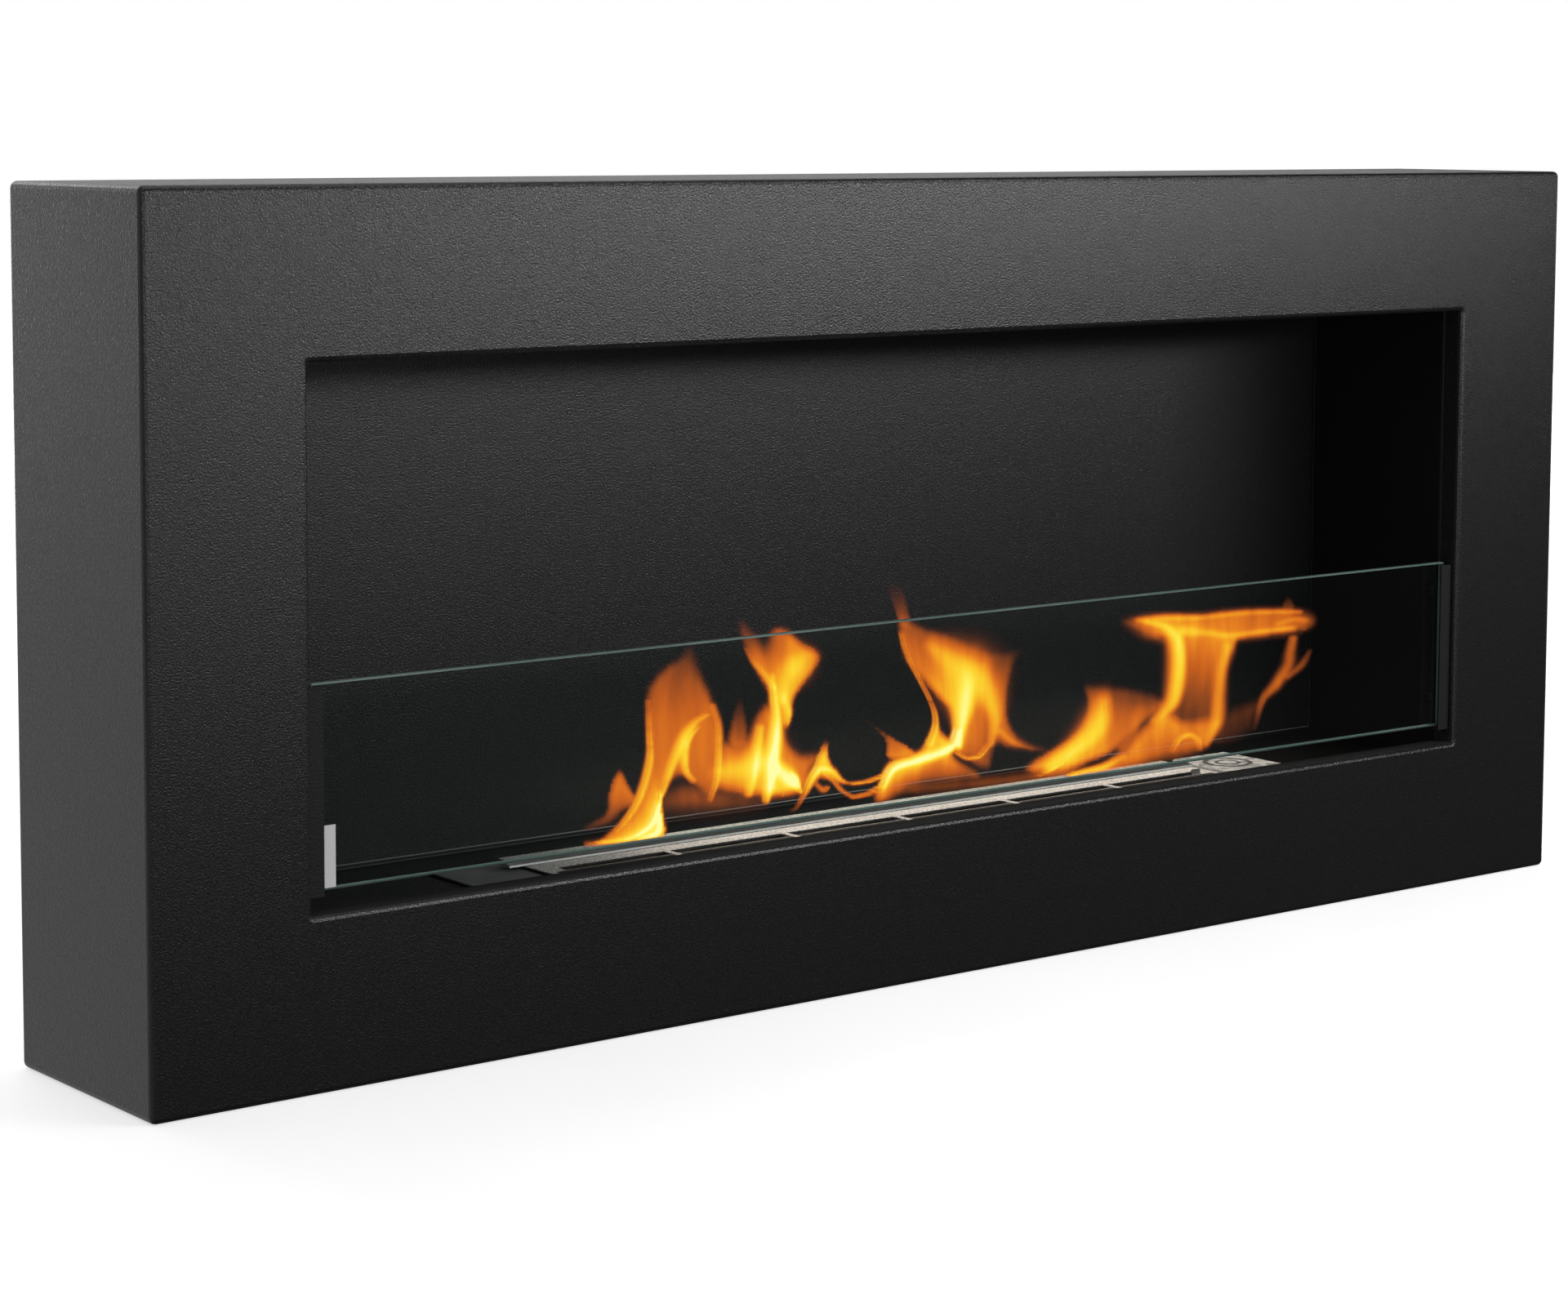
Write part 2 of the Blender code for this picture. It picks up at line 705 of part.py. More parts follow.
def bracket_outline(sign):
    """The section of a pane bracket: a flange before the pane and a tongue behind it."""
    thickness = THIN_SHEET
    outline = [
        (BRACKET_WALL, BRACKET_FRONT),
        (BRACKET_WALL, BRACKET_BACK),
        (BRACKET_WALL - thickness, BRACKET_BACK),
        (BRACKET_WALL - thickness, BRACKET_TONGUE + thickness),
        (BRACKET_WALL - BRACKET_TONGUE_LENGTH, BRACKET_TONGUE + thickness),
        (BRACKET_WALL - BRACKET_TONGUE_LENGTH, BRACKET_TONGUE),
        (BRACKET_WALL - thickness, BRACKET_TONGUE),
        (BRACKET_WALL - thickness, BRACKET_FRONT + thickness),
        (BRACKET_WALL - BRACKET_FLANGE, BRACKET_FRONT + thickness),
        (BRACKET_WALL - BRACKET_FLANGE, BRACKET_FRONT),
    ]
    return [(sign * x, y_at(depth)) for x, depth in outline]


def build_brackets(paint, steel):
    """The two upright brackets that hold the pane, each with two screws into the firebox's wall."""
    y = y_at(BRACKET_SCREW_DEPTH)
    for side, sign in (("left", -1.0), ("right", 1.0)):
        name = "%s_glass_bracket" % side
        mesh = extruded_mesh(name, bracket_outline(sign), "Z", 0.0, BRACKET_TOP - BRACKET_BOTTOM)
        bracket = add_object(name, mesh, (0.0, 0.0, BRACKET_BOTTOM), paint)
        start = sign * (BRACKET_WALL - REACH)
        end = sign * (BRACKET_WALL + REACH)
        holes = [screw_hole(y, z, "X", start, end) for z in BRACKET_SCREW_HEIGHTS]
        cutter = joined_cutters("%s_bracket_holes" % side, holes)
        cut_away(bracket, cutter)
        cut_with(bpy.data.objects["firebox_%s_wall" % side], cutter)
        for level, z in zip(("lower", "upper"), BRACKET_SCREW_HEIGHTS):
            seat = (sign * (BRACKET_WALL - THIN_SHEET - GAP), y, z)
            add_screw("%s_bracket_%s_screw" % (side, level), seat, (-sign, 0.0, 0.0), steel)


def build_pane_rests(paint, rubber):
    """The shelf in each bracket, and the silicone pad on it that the pane stands on."""
    depths = (BRACKET_FRONT + THIN_SHEET + GAP, BRACKET_TONGUE - GAP)
    shelf_top = PANE_BOTTOM - GAP - PAD_HEIGHT - GAP
    pad_bottom = shelf_top + GAP
    pad_heights = (pad_bottom, pad_bottom + PAD_HEIGHT)
    for side, sign in (("left", -1.0), ("right", 1.0)):
        ends = sorted((sign * (BRACKET_WALL - THIN_SHEET - GAP), sign * (BRACKET_WALL - BRACKET_FLANGE)))
        add_plate("%s_bracket_shelf" % side, ends, depths, (BRACKET_BOTTOM, shelf_top), paint)
        add_plate("%s_pane_pad" % side, ends, depths, pad_heights, rubber, edge=PAD_EDGE)


def tank_ring(inset, z):
    """A level ring of the tank, inset from the burner's outer edge."""
    low = y_at(BURNER_FRONT + inset)
    high = y_at(BURNER_BACK - inset)
    half = BURNER_HALF - inset
    radius = TANK_CORNER + max(0.0, TANK_RIM - inset)
    return [(x, y, z) for x, y in rounded_rectangle(-half, half, low, high, radius)]


def build_tank(steel, burner_axis):
    """The fuel tank: a folded trough with a rim that hangs on the floor."""
    fold = TANK_FOLD
    edge = 0.3 * fold
    inner_edge = edge + 0.7 * THIN_SHEET
    rings = [
        tank_ring(TANK_RIM + fold, TANK_BOTTOM),
        tank_ring(TANK_RIM + edge, TANK_BOTTOM + edge),
        tank_ring(TANK_RIM, TANK_BOTTOM + fold),
        tank_ring(TANK_RIM, TANK_RIM_BOTTOM),
        tank_ring(0.0, TANK_RIM_BOTTOM),
        tank_ring(0.0, TANK_RIM_TOP),
        tank_ring(TANK_WALL, TANK_RIM_TOP),
        tank_ring(TANK_WALL, TANK_BOTTOM + fold),
        tank_ring(TANK_RIM + inner_edge, TANK_BOTTOM + inner_edge),
        tank_ring(TANK_RIM + fold, TANK_BOTTOM + THIN_SHEET),
    ]
    mesh = mesh_from_rings("burner_tank", rings, closed=False)
    shade(mesh)
    mesh.transform(Matrix.Translation(-burner_axis.location))
    add_object("burner_tank", mesh, burner_axis.location, steel, burner_axis)


def build_fibre(fibre, burner_axis):
    """The block of ceramic fibre that soaks up the fuel in the tank."""
    inset = TANK_WALL + FIBRE_GAP
    add_plate(
        "ceramic_fibre",
        (-BURNER_HALF + inset, BURNER_HALF - inset),
        (BURNER_FRONT + inset, BURNER_BACK - inset),
        (FIBRE_BOTTOM, FIBRE_TOP),
        fibre,
        burner_axis,
        edge=BOARD_EDGE,
    )


def window_ranges():
    """The left and right end of each window in the burner's top plate."""
    middle = (WINDOW_COUNT - 2) / 2.0
    bridges = [(index - middle) * WINDOW_PITCH for index in range(WINDOW_COUNT - 1)]
    lefts = [-WINDOW_ROW_HALF] + [x + WINDOW_BRIDGE / 2.0 for x in bridges]
    rights = [x - WINDOW_BRIDGE / 2.0 for x in bridges] + [WINDOW_ROW_HALF]
    return list(zip(lefts, rights))


def build_top_plate(steel, burner_axis):
    """The tank's top plate, with its row of windows and the flame slot behind them."""
    top_plate = add_plate(
        "burner_top_plate",
        (-BURNER_HALF, BURNER_HALF),
        (BURNER_FRONT, BURNER_BACK),
        (TOP_PLATE_BOTTOM, TOP_PLATE_TOP),
        steel,
        burner_axis,
        edge=TOP_PLATE_EDGE,
    )
    low = TOP_PLATE_BOTTOM - REACH
    high = TOP_PLATE_TOP + REACH
    front = y_at(WINDOW_FRONT)
    back = y_at(WINDOW_BACK)
    cutters = []
    for left, right in window_ranges():
        outline = rounded_rectangle(left, right, front, back, WINDOW_CORNER)
        cutters.append(extruded_mesh("window", outline, "Z", low, high))
    front = y_at(FLAME_SLOT_FRONT)
    back = y_at(FLAME_SLOT_BACK)
    outline = rounded_rectangle(-WINDOW_ROW_HALF, WINDOW_ROW_HALF, front, back, FLAME_SLOT_CORNER)
    cutters.append(extruded_mesh("flame_slot", outline, "Z", low, high))
    cut_away(top_plate, joined_cutters("burner_openings", cutters))


def build_guard(steel, burner_axis):
    """The low rounded bar along the front of the flame slot; it sticks out at its left end."""
    half_width = (GUARD_BACK - GUARD_FRONT) / 2.0
    outline = []
    for step in range(GUARD_STEPS + 1):
        angle = math.pi * step / GUARD_STEPS
        rise = GUARD_HEIGHT * math.sin(angle) ** GUARD_FULLNESS
        outline.append((-half_width * math.cos(angle), rise))
    length = 2.0 * BURNER_HALF + GUARD_OVERHANG
    mesh = extruded_mesh("flame_guard", outline, "X", -length / 2.0, length / 2.0)
    shade(mesh, 50.0)
    place = (-GUARD_OVERHANG / 2.0, y_at(GUARD_FRONT) + half_width, TOP_PLATE_TOP + GAP)
    add_object("flame_guard", mesh, place, steel, burner_axis)


def build_guides(steel, burner_axis):
    """The two strips that the slide runs on, at the ends of the tank."""
    guide_top = SLIDE_BOTTOM - GAP
    reach = BURNER_HALF - TANK_WALL - GAP
    depths = (SLIDE_FRONT, SLIDE_BACK + SLIDE_TRAVEL)
    heights = (guide_top - GUIDE_HEIGHT, guide_top)
    for side, sign in (("left", -1.0), ("right", 1.0)):
        ends = sorted((sign * reach, sign * (reach - GUIDE_WIDTH)))
        add_plate("%s_slide_guide" % side, ends, depths, heights, steel, burner_axis)


def build_slide(steel, burner_axis):
    """The slide that snuffs the flame, and the tab that moves it."""
    place = (0.0, y_at(SLIDE_FRONT), SLIDE_BOTTOM)
    slide_axis = add_axis("slide_axis", place)
    slide_axis.parent = burner_axis
    slide_axis.location = Vector(place) - burner_axis.location
    width = SLIDE_BACK - SLIDE_FRONT
    outline = [(-SLIDE_HALF, 0.0), (SLIDE_HALF, 0.0), (SLIDE_HALF, width), (-SLIDE_HALF, width)]
    mesh = extruded_mesh("snuffer_slide", outline, "Z", 0.0, THIN_SHEET)
    slide = add_object("snuffer_slide", mesh, (0.0, 0.0, 0.0), steel)
    slide.parent = slide_axis
    round_edges(slide, EDGE)

    arm = SLIDE_FRONT - GAP - TAB_FRONT
    path = [(0.0, TAB_TOP - SLIDE_BOTTOM), (0.0, 0.0), (arm, 0.0)]
    outline = folded_outline(path, THIN_SHEET, SMALL_BEND)
    mesh = extruded_mesh("snuffer_tab", outline, "X", 0.0, TAB_WIDTH)
    shade(mesh)
    place = (TAB_X - TAB_WIDTH / 2.0, TAB_FRONT - SLIDE_FRONT, 0.0)
    tab = add_object("snuffer_tab", mesh, place, steel)
    tab.parent = slide_axis


def main():
    """Clear the scene and build the fireplace."""
    for thing in list(bpy.data.objects):
        bpy.data.objects.remove(thing, do_unlink=True)
    casing_paint = make_material("casing_paint", (0.022, 0.022, 0.023), 0.55, 0.0)
    firebox_paint = make_material("firebox_paint", (0.016, 0.016, 0.016), 0.60, 0.0)
    stainless = make_material("stainless_steel", (0.62, 0.61, 0.59), 0.30, 1.0)
    burner_steel = make_material("burner_steel", (0.70, 0.69, 0.67), 0.38, 1.0)
    dark_plate = make_material("dark_plate", (0.12, 0.12, 0.12), 0.60, 0.3)
    bright_plate = make_material("bright_plate", (0.55, 0.55, 0.54), 0.45, 0.8)
    zinc = make_material("zinc_plated_steel", (0.55, 0.56, 0.58), 0.40, 1.0)
    glass = make_material("clear_glass", (0.80, 0.88, 0.86), 0.02, 0.0)
    paper = make_material("label_paper", (0.80, 0.80, 0.80), 0.60, 0.0)
    rubber = make_material("black_rubber", (0.02, 0.02, 0.02), 0.80, 0.0)
    fibre = make_material("ceramic_fibre", (0.80, 0.79, 0.76), 0.95, 0.0)
    board = make_material("insulation_board", (0.62, 0.58, 0.48), 0.95, 0.0)

    build_casing(casing_paint)
    build_firebox_walls(firebox_paint)
    build_firebox_back(firebox_paint)
    build_firebox_roof(firebox_paint)
    build_firebox_floor(firebox_paint)
    build_floor_supports(zinc)
    build_insulation(board)
    build_heat_shield(zinc)
    build_floor_covers(dark_plate, bright_plate)
    build_pane(glass, paper)
    build_brackets(firebox_paint, zinc)
    build_pane_rests(firebox_paint, rubber)
    burner_place = (0.0, y_at((BURNER_FRONT + BURNER_BACK) / 2.0), TANK_BOTTOM)
    burner_axis = add_axis("burner_axis", burner_place)
    build_tank(stainless, burner_axis)
    build_fibre(fibre, burner_axis)
    build_top_plate(burner_steel, burner_axis)
    build_guard(burner_steel, burner_axis)
    build_guides(stainless, burner_axis)
    build_slide(stainless, burner_axis)
    build_back_cover(casing_paint)
    build_keyhole_plates(zinc)
    build_back_screws(zinc)
    build_spacers(rubber)


main()
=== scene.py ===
"""The looks of the wall-hung fireplace: finishes, glass, label, flames, light and camera.

The frame is the CAD model's: X to the right, Y from the front towards the wall, Z up, in metres.
"""

import math

import bmesh
import bpy
import numpy as np
from mathutils import Matrix, Vector


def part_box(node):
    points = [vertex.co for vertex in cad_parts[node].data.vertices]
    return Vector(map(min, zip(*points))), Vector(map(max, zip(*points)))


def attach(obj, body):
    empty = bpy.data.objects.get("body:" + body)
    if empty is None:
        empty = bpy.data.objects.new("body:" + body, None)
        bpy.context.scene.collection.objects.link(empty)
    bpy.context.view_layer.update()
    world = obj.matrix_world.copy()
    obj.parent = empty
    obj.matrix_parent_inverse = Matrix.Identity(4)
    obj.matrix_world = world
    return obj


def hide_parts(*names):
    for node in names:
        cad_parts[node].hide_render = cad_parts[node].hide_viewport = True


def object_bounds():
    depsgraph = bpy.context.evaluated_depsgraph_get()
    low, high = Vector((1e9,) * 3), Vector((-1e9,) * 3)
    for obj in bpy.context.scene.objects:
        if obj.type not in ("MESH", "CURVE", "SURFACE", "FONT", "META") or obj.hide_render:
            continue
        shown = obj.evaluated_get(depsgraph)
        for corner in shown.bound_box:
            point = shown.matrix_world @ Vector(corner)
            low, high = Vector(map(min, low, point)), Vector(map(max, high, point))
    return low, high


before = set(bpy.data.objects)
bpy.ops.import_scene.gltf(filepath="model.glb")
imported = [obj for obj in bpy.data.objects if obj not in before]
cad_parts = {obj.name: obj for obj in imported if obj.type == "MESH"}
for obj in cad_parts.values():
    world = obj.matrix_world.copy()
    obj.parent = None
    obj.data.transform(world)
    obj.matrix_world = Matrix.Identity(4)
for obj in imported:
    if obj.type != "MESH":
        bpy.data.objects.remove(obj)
cad_low, cad_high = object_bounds()

# The camera's place and direction, and its lens
CAMERA_PLACE = (-1.1694, -1.4151, 0.4298)
CAMERA_YAW = math.radians(38.09)
CAMERA_PITCH = math.radians(5.42)
CAMERA_ROLL = math.radians(0.216)
CAMERA_LENS = 83.14
CAMERA_SENSOR = 36.0
CAMERA_SHIFT_UP = -0.12
CAMERA_NEAREST = 0.05
CAMERA_FARTHEST = 60.0

# The values that a noise mostly keeps between, and how much of a face's normal lies along an axis where
# the face counts as square to it
NOISE_RANGE = (0.3, 0.7)
SQUARE_TO_AXIS = 0.99

# The glass pane: its ground bevels and its colour, how much of the room it mirrors, seen face on and
# added to that at the slant, and how steeply that grows
PANE_BEVEL = 0.0007
GLASS_TINT = (0.90, 0.935, 0.92)
GLASS_REFLECTION = 0.03
GLASS_SLANT_REFLECTION = 0.7
GLASS_SLANT_POWER = 5.0

# The paints: the powder coat's relief, how much rougher it is where dust has settled, the normal's Z
# where the dust starts and where it is full, and the colours
COAT_RELIEF = 0.00022
TOP_DUST = 0.34
DUST_SLOPE = (0.9, SQUARE_TO_AXIS)
CASING_BLACK = (0.0035, 0.0035, 0.0036)
FIREBOX_BLACK = (0.004, 0.004, 0.0041)
BRACKET_BLACK = (0.004, 0.004, 0.0041)

# The firebox's painted highlights, pale lines on edges where folds catch the light: over what depth the
# paint fades into them, how wide the line at the rear corners is, and their grey
EDGE_HIGHLIGHT_BLEND = 0.0004
CORNER_HIGHLIGHT_WIDTH = 0.0014
EDGE_HIGHLIGHT_GREY = (0.30, 0.30, 0.31)

# The burner's top plate: the share of its depth that lies before the windows and is darkened with painted
# shade, how dark that shade is, and the bridges between the windows, where it is left off so that they
# show as painted highlight lines. The shade also covers all below the top face. Its soft edges begin and
# end at
# these distances: from a bridge's middle in bridge widths, from the strip's rear edge, from the top face.
SHADED_STRIP = 0.178
PLATE_SHADE = 0.94
PLATE_SHADE_COLOUR = (0.012, 0.011, 0.010)
BRIDGE_PITCH = 0.0727
BRIDGE_WIDTH = 0.0034
BRIDGE_FADE = (0.45, 0.6)
STRIP_EDGE = (-0.0008, 0.0002)
SHADED_EDGE = (-0.0004, -0.0001)

# The two rings pressed into the right floor cover: their centre, from the cover's left edge and its
# middle, each one's radius and half its width, the share of that width that is at full depth, and the
# colour of the painted shade in their grooves
RING_PLACE = (0.0185, 0.001)
RINGS = ((0.0125, 0.0022), (0.0062, 0.0016))
RING_FLAT = 0.4
GROOVE_SHADE_COLOUR = (0.05, 0.05, 0.055)

# The flames: how far they stand behind the casing's front, how far they reach to the left, to the right
# and up, their gap over the burner's plate, and the step of the grid that they are built on
FLAME_DEPTH = 0.071
FLAME_LEFT = -0.200
FLAME_RIGHT = 0.340
FLAME_TOP = 0.200
FLAME_GAP = 0.0003
FLAME_GRID = 0.0012

# The least heat that is flame, how sharply heats merge, how much wider than high a rib's heat is, how
# many half widths it is followed, a rib's least width and the step along the curves in millimetres, and
# how the heat inside a veil falls off from its outline's points
FLAME_EDGE_HEAT = 0.02
FLAME_MERGE = 4.0
FLAME_SPREAD = 1.28
RIB_REACH = 4.0
FLAME_THINNEST = 1.8
FLAME_STEP = 1.0
VEIL_SOFTNESS = 2.0
VEIL_FALL = 1.25

# How thick the flames are and how close points are joined, how far and in what waves they sway in depth,
# over what height that starts, and how bright they are
FLAME_SKIN = 0.0001
FLAME_WELD = FLAME_SKIN * 0.2
FLAME_SWELL = 0.0016
FLAME_SWAY = 0.004
FLAME_WAVES = (60.0, 25.0)
FLAME_SWAY_HEIGHT = 0.05
FLAME_BRIGHTNESS = 1.3

# The flames' streaks: how much they change the heat, the heat at which they fade out again, and their
# gain and that of the heat itself
FLAME_STREAKS = 0.035
STREAK_HOTTEST = 1.15
STREAK_GAIN = 4.0
HEAT_GAIN = 1.04

# The floor: its half width, how far it lies under the object, and how much it shines of its own near
# the object and far off, so that it stays pale out to the horizon
FLOOR_REACH = 12.0
FLOOR_GAP = 0.0002
FLOOR_GLOW = 0.76
FLOOR_FAR_GLOW = 1.2
FLOOR_NEAR = 0.75
FLOOR_FAR = 2.6

# The room's light: dim all round, with soft patches. Each patch has its direction, the cosine where it
# begins, and its strength.
ROOM_DARK = 0.03
ROOM_PATCHES = (
    ((-0.25, 0.96, -0.10), 0.2, 0.55),
    ((-0.86, -0.50, 0.0), 0.3, 0.30),
    ((1.0, 0.05, 0.10), 0.88, 0.34),
)

# The lamps: name, place, what they point at, width and height, and power in watts
LAMPS = (
    ("key", (0.73, -1.15, 0.74), (0.0, -0.05, 0.30), (0.50, 0.42), 1.8),
    ("strip", (0.78, -1.15, 0.54), (0.0, -0.06, 0.36), (1.10, 0.13), 6.6),
    ("low", (0.10, -1.15, 0.24), (-0.40, -0.06, 0.25), (0.3, 0.26), 0.45),
    ("edge", (-0.35, -1.30, 0.40), (-0.45, -0.06, 0.28), (0.08, 0.4), 1.5),
    ("back", (1.2, 3.2, 1.0), (0.2, 0.0, 0.4), (5.0, 2.2), 95.0),
    ("ceiling", (0.0, 0.0, 2.6), (0.0, 0.0, 0.0), (2.5, 2.5), 22.0),
)

# The lamp over the burner, which stands in for the flames' light: its place, sideways and from the
# middle of the burner's plate back and up, its size, its power and its colour
BURNER_LAMP_X = 0.08
BURNER_LAMP_BACK = 0.012
BURNER_LAMP_UP = 0.05
BURNER_LAMP_SIZE = (0.45, 0.02)
BURNER_LAMP_POWER = 0.20
FLAME_LIGHT = (1.0, 0.88, 0.74)

WHITE = (1.0, 1.0, 1.0)

MM = 0.001


class Finish:
    """A material's nodes. The methods return the socket that carries their result."""

    def __init__(self, name):
        self.material = bpy.data.materials.new(name)
        self.material.use_nodes = True
        self.nodes = self.material.node_tree.nodes
        self.links = self.material.node_tree.links
        self.nodes.clear()
        self.output = self.nodes.new("ShaderNodeOutputMaterial")
        places = self.nodes.new("ShaderNodeTexCoord").outputs
        self.coordinates = places["Object"]
        self.facing = places["Normal"]

    def set(self, socket, value):
        """Links a socket to another, or sets its value."""
        if isinstance(value, bpy.types.NodeSocket):
            self.links.new(value, socket)
        elif isinstance(value, tuple) and len(value) == 3 and socket.type == "RGBA":
            socket.default_value = (*value, 1.0)
        else:
            socket.default_value = value

    def principled(self, **values):
        """A Principled shader; values go by the sockets' names, with _ for a space."""
        shader = self.nodes.new("ShaderNodeBsdfPrincipled")
        for name, value in values.items():
            self.set(shader.inputs[name.replace("_", " ")], value)
        return shader.outputs["BSDF"]

    def shader(self, kind, **values):
        """Any other shader."""
        shader = self.nodes.new(kind)
        for name, value in values.items():
            self.set(shader.inputs[name.replace("_", " ")], value)
        return shader.outputs[0]

    def stretched(self, x, y, z):
        """Object coordinates multiplied along each axis."""
        mapping = self.nodes.new("ShaderNodeMapping")
        self.links.new(self.coordinates, mapping.inputs["Vector"])
        mapping.inputs["Scale"].default_value = (x, y, z)
        return mapping.outputs["Vector"]

    def noise(self, scale, detail=3.0, roughness=0.55, vector=None):
        """Noise between 0 and 1; scale is in features per metre."""
        node = self.nodes.new("ShaderNodeTexNoise")
        self.links.new(vector or self.coordinates, node.inputs["Vector"])
        node.inputs["Scale"].default_value = scale
        node.inputs["Detail"].default_value = detail
        node.inputs["Roughness"].default_value = roughness
        return node.outputs["Fac"]

    def cells(self, scale, output="Distance"):
        """A Voronoi pattern; scale is in cells per metre."""
        node = self.nodes.new("ShaderNodeTexVoronoi")
        self.links.new(self.coordinates, node.inputs["Vector"])
        node.inputs["Scale"].default_value = scale
        return node.outputs[output]

    def span(self, value, low, high, start, end):
        """A value mapped from low..high to start..end, and held between start and end."""
        node = self.nodes.new("ShaderNodeMapRange")
        self.set(node.inputs["Value"], value)
        node.inputs["From Min"].default_value = low
        node.inputs["From Max"].default_value = high
        node.inputs["To Min"].default_value = start
        node.inputs["To Max"].default_value = end
        return node.outputs["Result"]

    def vary(self, noise, start, end):
        """A noise's usual range of values mapped to start..end, and held between them."""
        return self.span(noise, *NOISE_RANGE, start, end)

    def math(self, operation, first, second=0.0):
        """One arithmetic step."""
        node = self.nodes.new("ShaderNodeMath")
        node.operation = operation
        self.set(node.inputs[0], first)
        self.set(node.inputs[1], second)
        return node.outputs["Value"]

    def ramp(self, value, stops):
        """Colours along a value: stops are (place, (red, green, blue))."""
        node = self.nodes.new("ShaderNodeValToRGB")
        self.set(node.inputs["Fac"], value)
        elements = node.color_ramp.elements
        while len(elements) < len(stops):
            elements.new(0.5)
        for element, (place, colour) in zip(elements, stops):
            element.position = place
            element.color = (*colour, 1.0)
        return node.outputs["Color"]

    def blend(self, factor, first, second, mode="MIX"):
        """Two colours blended."""
        node = self.nodes.new("ShaderNodeMix")
        node.data_type = "RGBA"
        node.blend_type = mode
        first_colour, second_colour = (socket for socket in node.inputs if socket.type == "RGBA")
        self.set(node.inputs["Factor"], factor)
        self.set(first_colour, first)
        self.set(second_colour, second)
        return next(socket for socket in node.outputs if socket.type == "RGBA")

    def mix(self, share, first, second):
        """Two shaders mixed: none of the second at a share of 0, only the second at 1."""
        node = self.nodes.new("ShaderNodeMixShader")
        self.set(node.inputs["Fac"], share)
        self.links.new(first, node.inputs[1])
        self.links.new(second, node.inputs[2])
        return node.outputs["Shader"]

    def bump(self, height, distance, strength=1.0):
        """A normal from a height between 0 and 1; distance is the relief's depth in metres."""
        node = self.nodes.new("ShaderNodeBump")
        self.set(node.inputs["Height"], height)
        node.inputs["Distance"].default_value = distance
        node.inputs["Strength"].default_value = strength
        return node.outputs["Normal"]

    def part_of(self, vector, axis):
        """One component of a vector."""
        node = self.nodes.new("ShaderNodeSeparateXYZ")
        self.links.new(vector, node.inputs["Vector"])
        return node.outputs[axis]

    def axis(self, name):
        """One object coordinate."""
        return self.part_of(self.coordinates, name)

    def done(self, surface):
        """Ends the material with its surface."""
        self.links.new(surface, self.output.inputs["Surface"])
        return self.material


def powder_coat(name, colour, roughness, specular):
    """Fine-textured powder coat: an orange peel under 1 mm, soft mottling and a few bright grains.

    Level faces are duller, because dust settles on them.
    """
    make = Finish(name)
    peel = make.noise(1250.0, detail=1.0)
    mottle = make.noise(700.0, detail=3.0, roughness=0.7)
    grain = make.cells(900.0)
    tone = make.vary(mottle, 0.4, 1.8)
    base = make.blend(1.0, colour, make.ramp(tone, [(0.0, (0.0,) * 3), (1.0, (1.0,) * 3)]), "MULTIPLY")
    sparkle = make.span(grain, 0.10, 0.22, 1.0, 0.0)
    base = make.blend(sparkle, tuple(3.5 * channel for channel in colour), base)
    rough = make.vary(peel, roughness - 0.09, roughness + 0.08)
    dust = make.span(make.part_of(make.facing, "Z"), *DUST_SLOPE, 0.0, TOP_DUST)
    rough = make.math("ADD", rough, dust)
    height = make.math("ADD", peel, make.math("MULTIPLY", mottle, 0.25))
    relief = make.bump(height, COAT_RELIEF, 0.9)
    surface = make.principled(
        Base_Color=base, Roughness=rough, Specular_IOR_Level=specular, Normal=relief
    )
    return make.done(surface)


def paint_with_edge_highlight(name, axis, level):
    """Black paint with a painted highlight, a pale grey line, on the edges beyond a level along an axis.
    """
    make = Finish(name)
    fine = make.noise(900.0, detail=3.0)
    light = tuple(1.6 * channel for channel in FIREBOX_BLACK)
    paint = make.ramp(fine, [(0.3, FIREBOX_BLACK), (0.7, light)])
    # Beyond the level the paint turns pale grey: a painted highlight along the edge.
    edge_highlight = make.span(make.axis(axis), level - EDGE_HIGHLIGHT_BLEND, level, 0.0, 1.0)
    base = make.blend(edge_highlight, paint, EDGE_HIGHLIGHT_GREY)
    rough = make.vary(fine, 0.42, 0.56)
    surface = make.principled(
        Base_Color=base, Roughness=rough, Specular_IOR_Level=0.3, Normal=make.bump(fine, 0.0001, 0.6)
    )
    return make.done(surface)


def brushed_steel(name, colour, roughness, along, relief):
    """Grained stainless sheet: fine lines along one direction, with speckle between them."""
    make = Finish(name)
    lines = make.noise(1.0, detail=4.0, roughness=0.65, vector=make.stretched(*along))
    speckle = make.noise(1400.0, detail=2.0)
    stain = make.noise(18.0, detail=3.0)
    light = tuple(min(1.0, 1.25 * channel) for channel in colour)
    dark = tuple(0.5 * channel for channel in colour)
    grain = make.math("MULTIPLY", make.math("ADD", lines, speckle), 0.5)
    base = make.ramp(grain, [(0.36, dark), (0.5, colour), (0.64, light)])
    base = make.blend(make.span(stain, 0.45, 0.7, 0.0, 0.35), base, (0.62, 0.56, 0.50))
    rough = make.vary(grain, roughness - 0.08, roughness + 0.12)
    surface = make.principled(
        Base_Color=base, Metallic=1.0, Roughness=rough, Normal=make.bump(grain, relief, 0.7)
    )
    return make.done(surface)


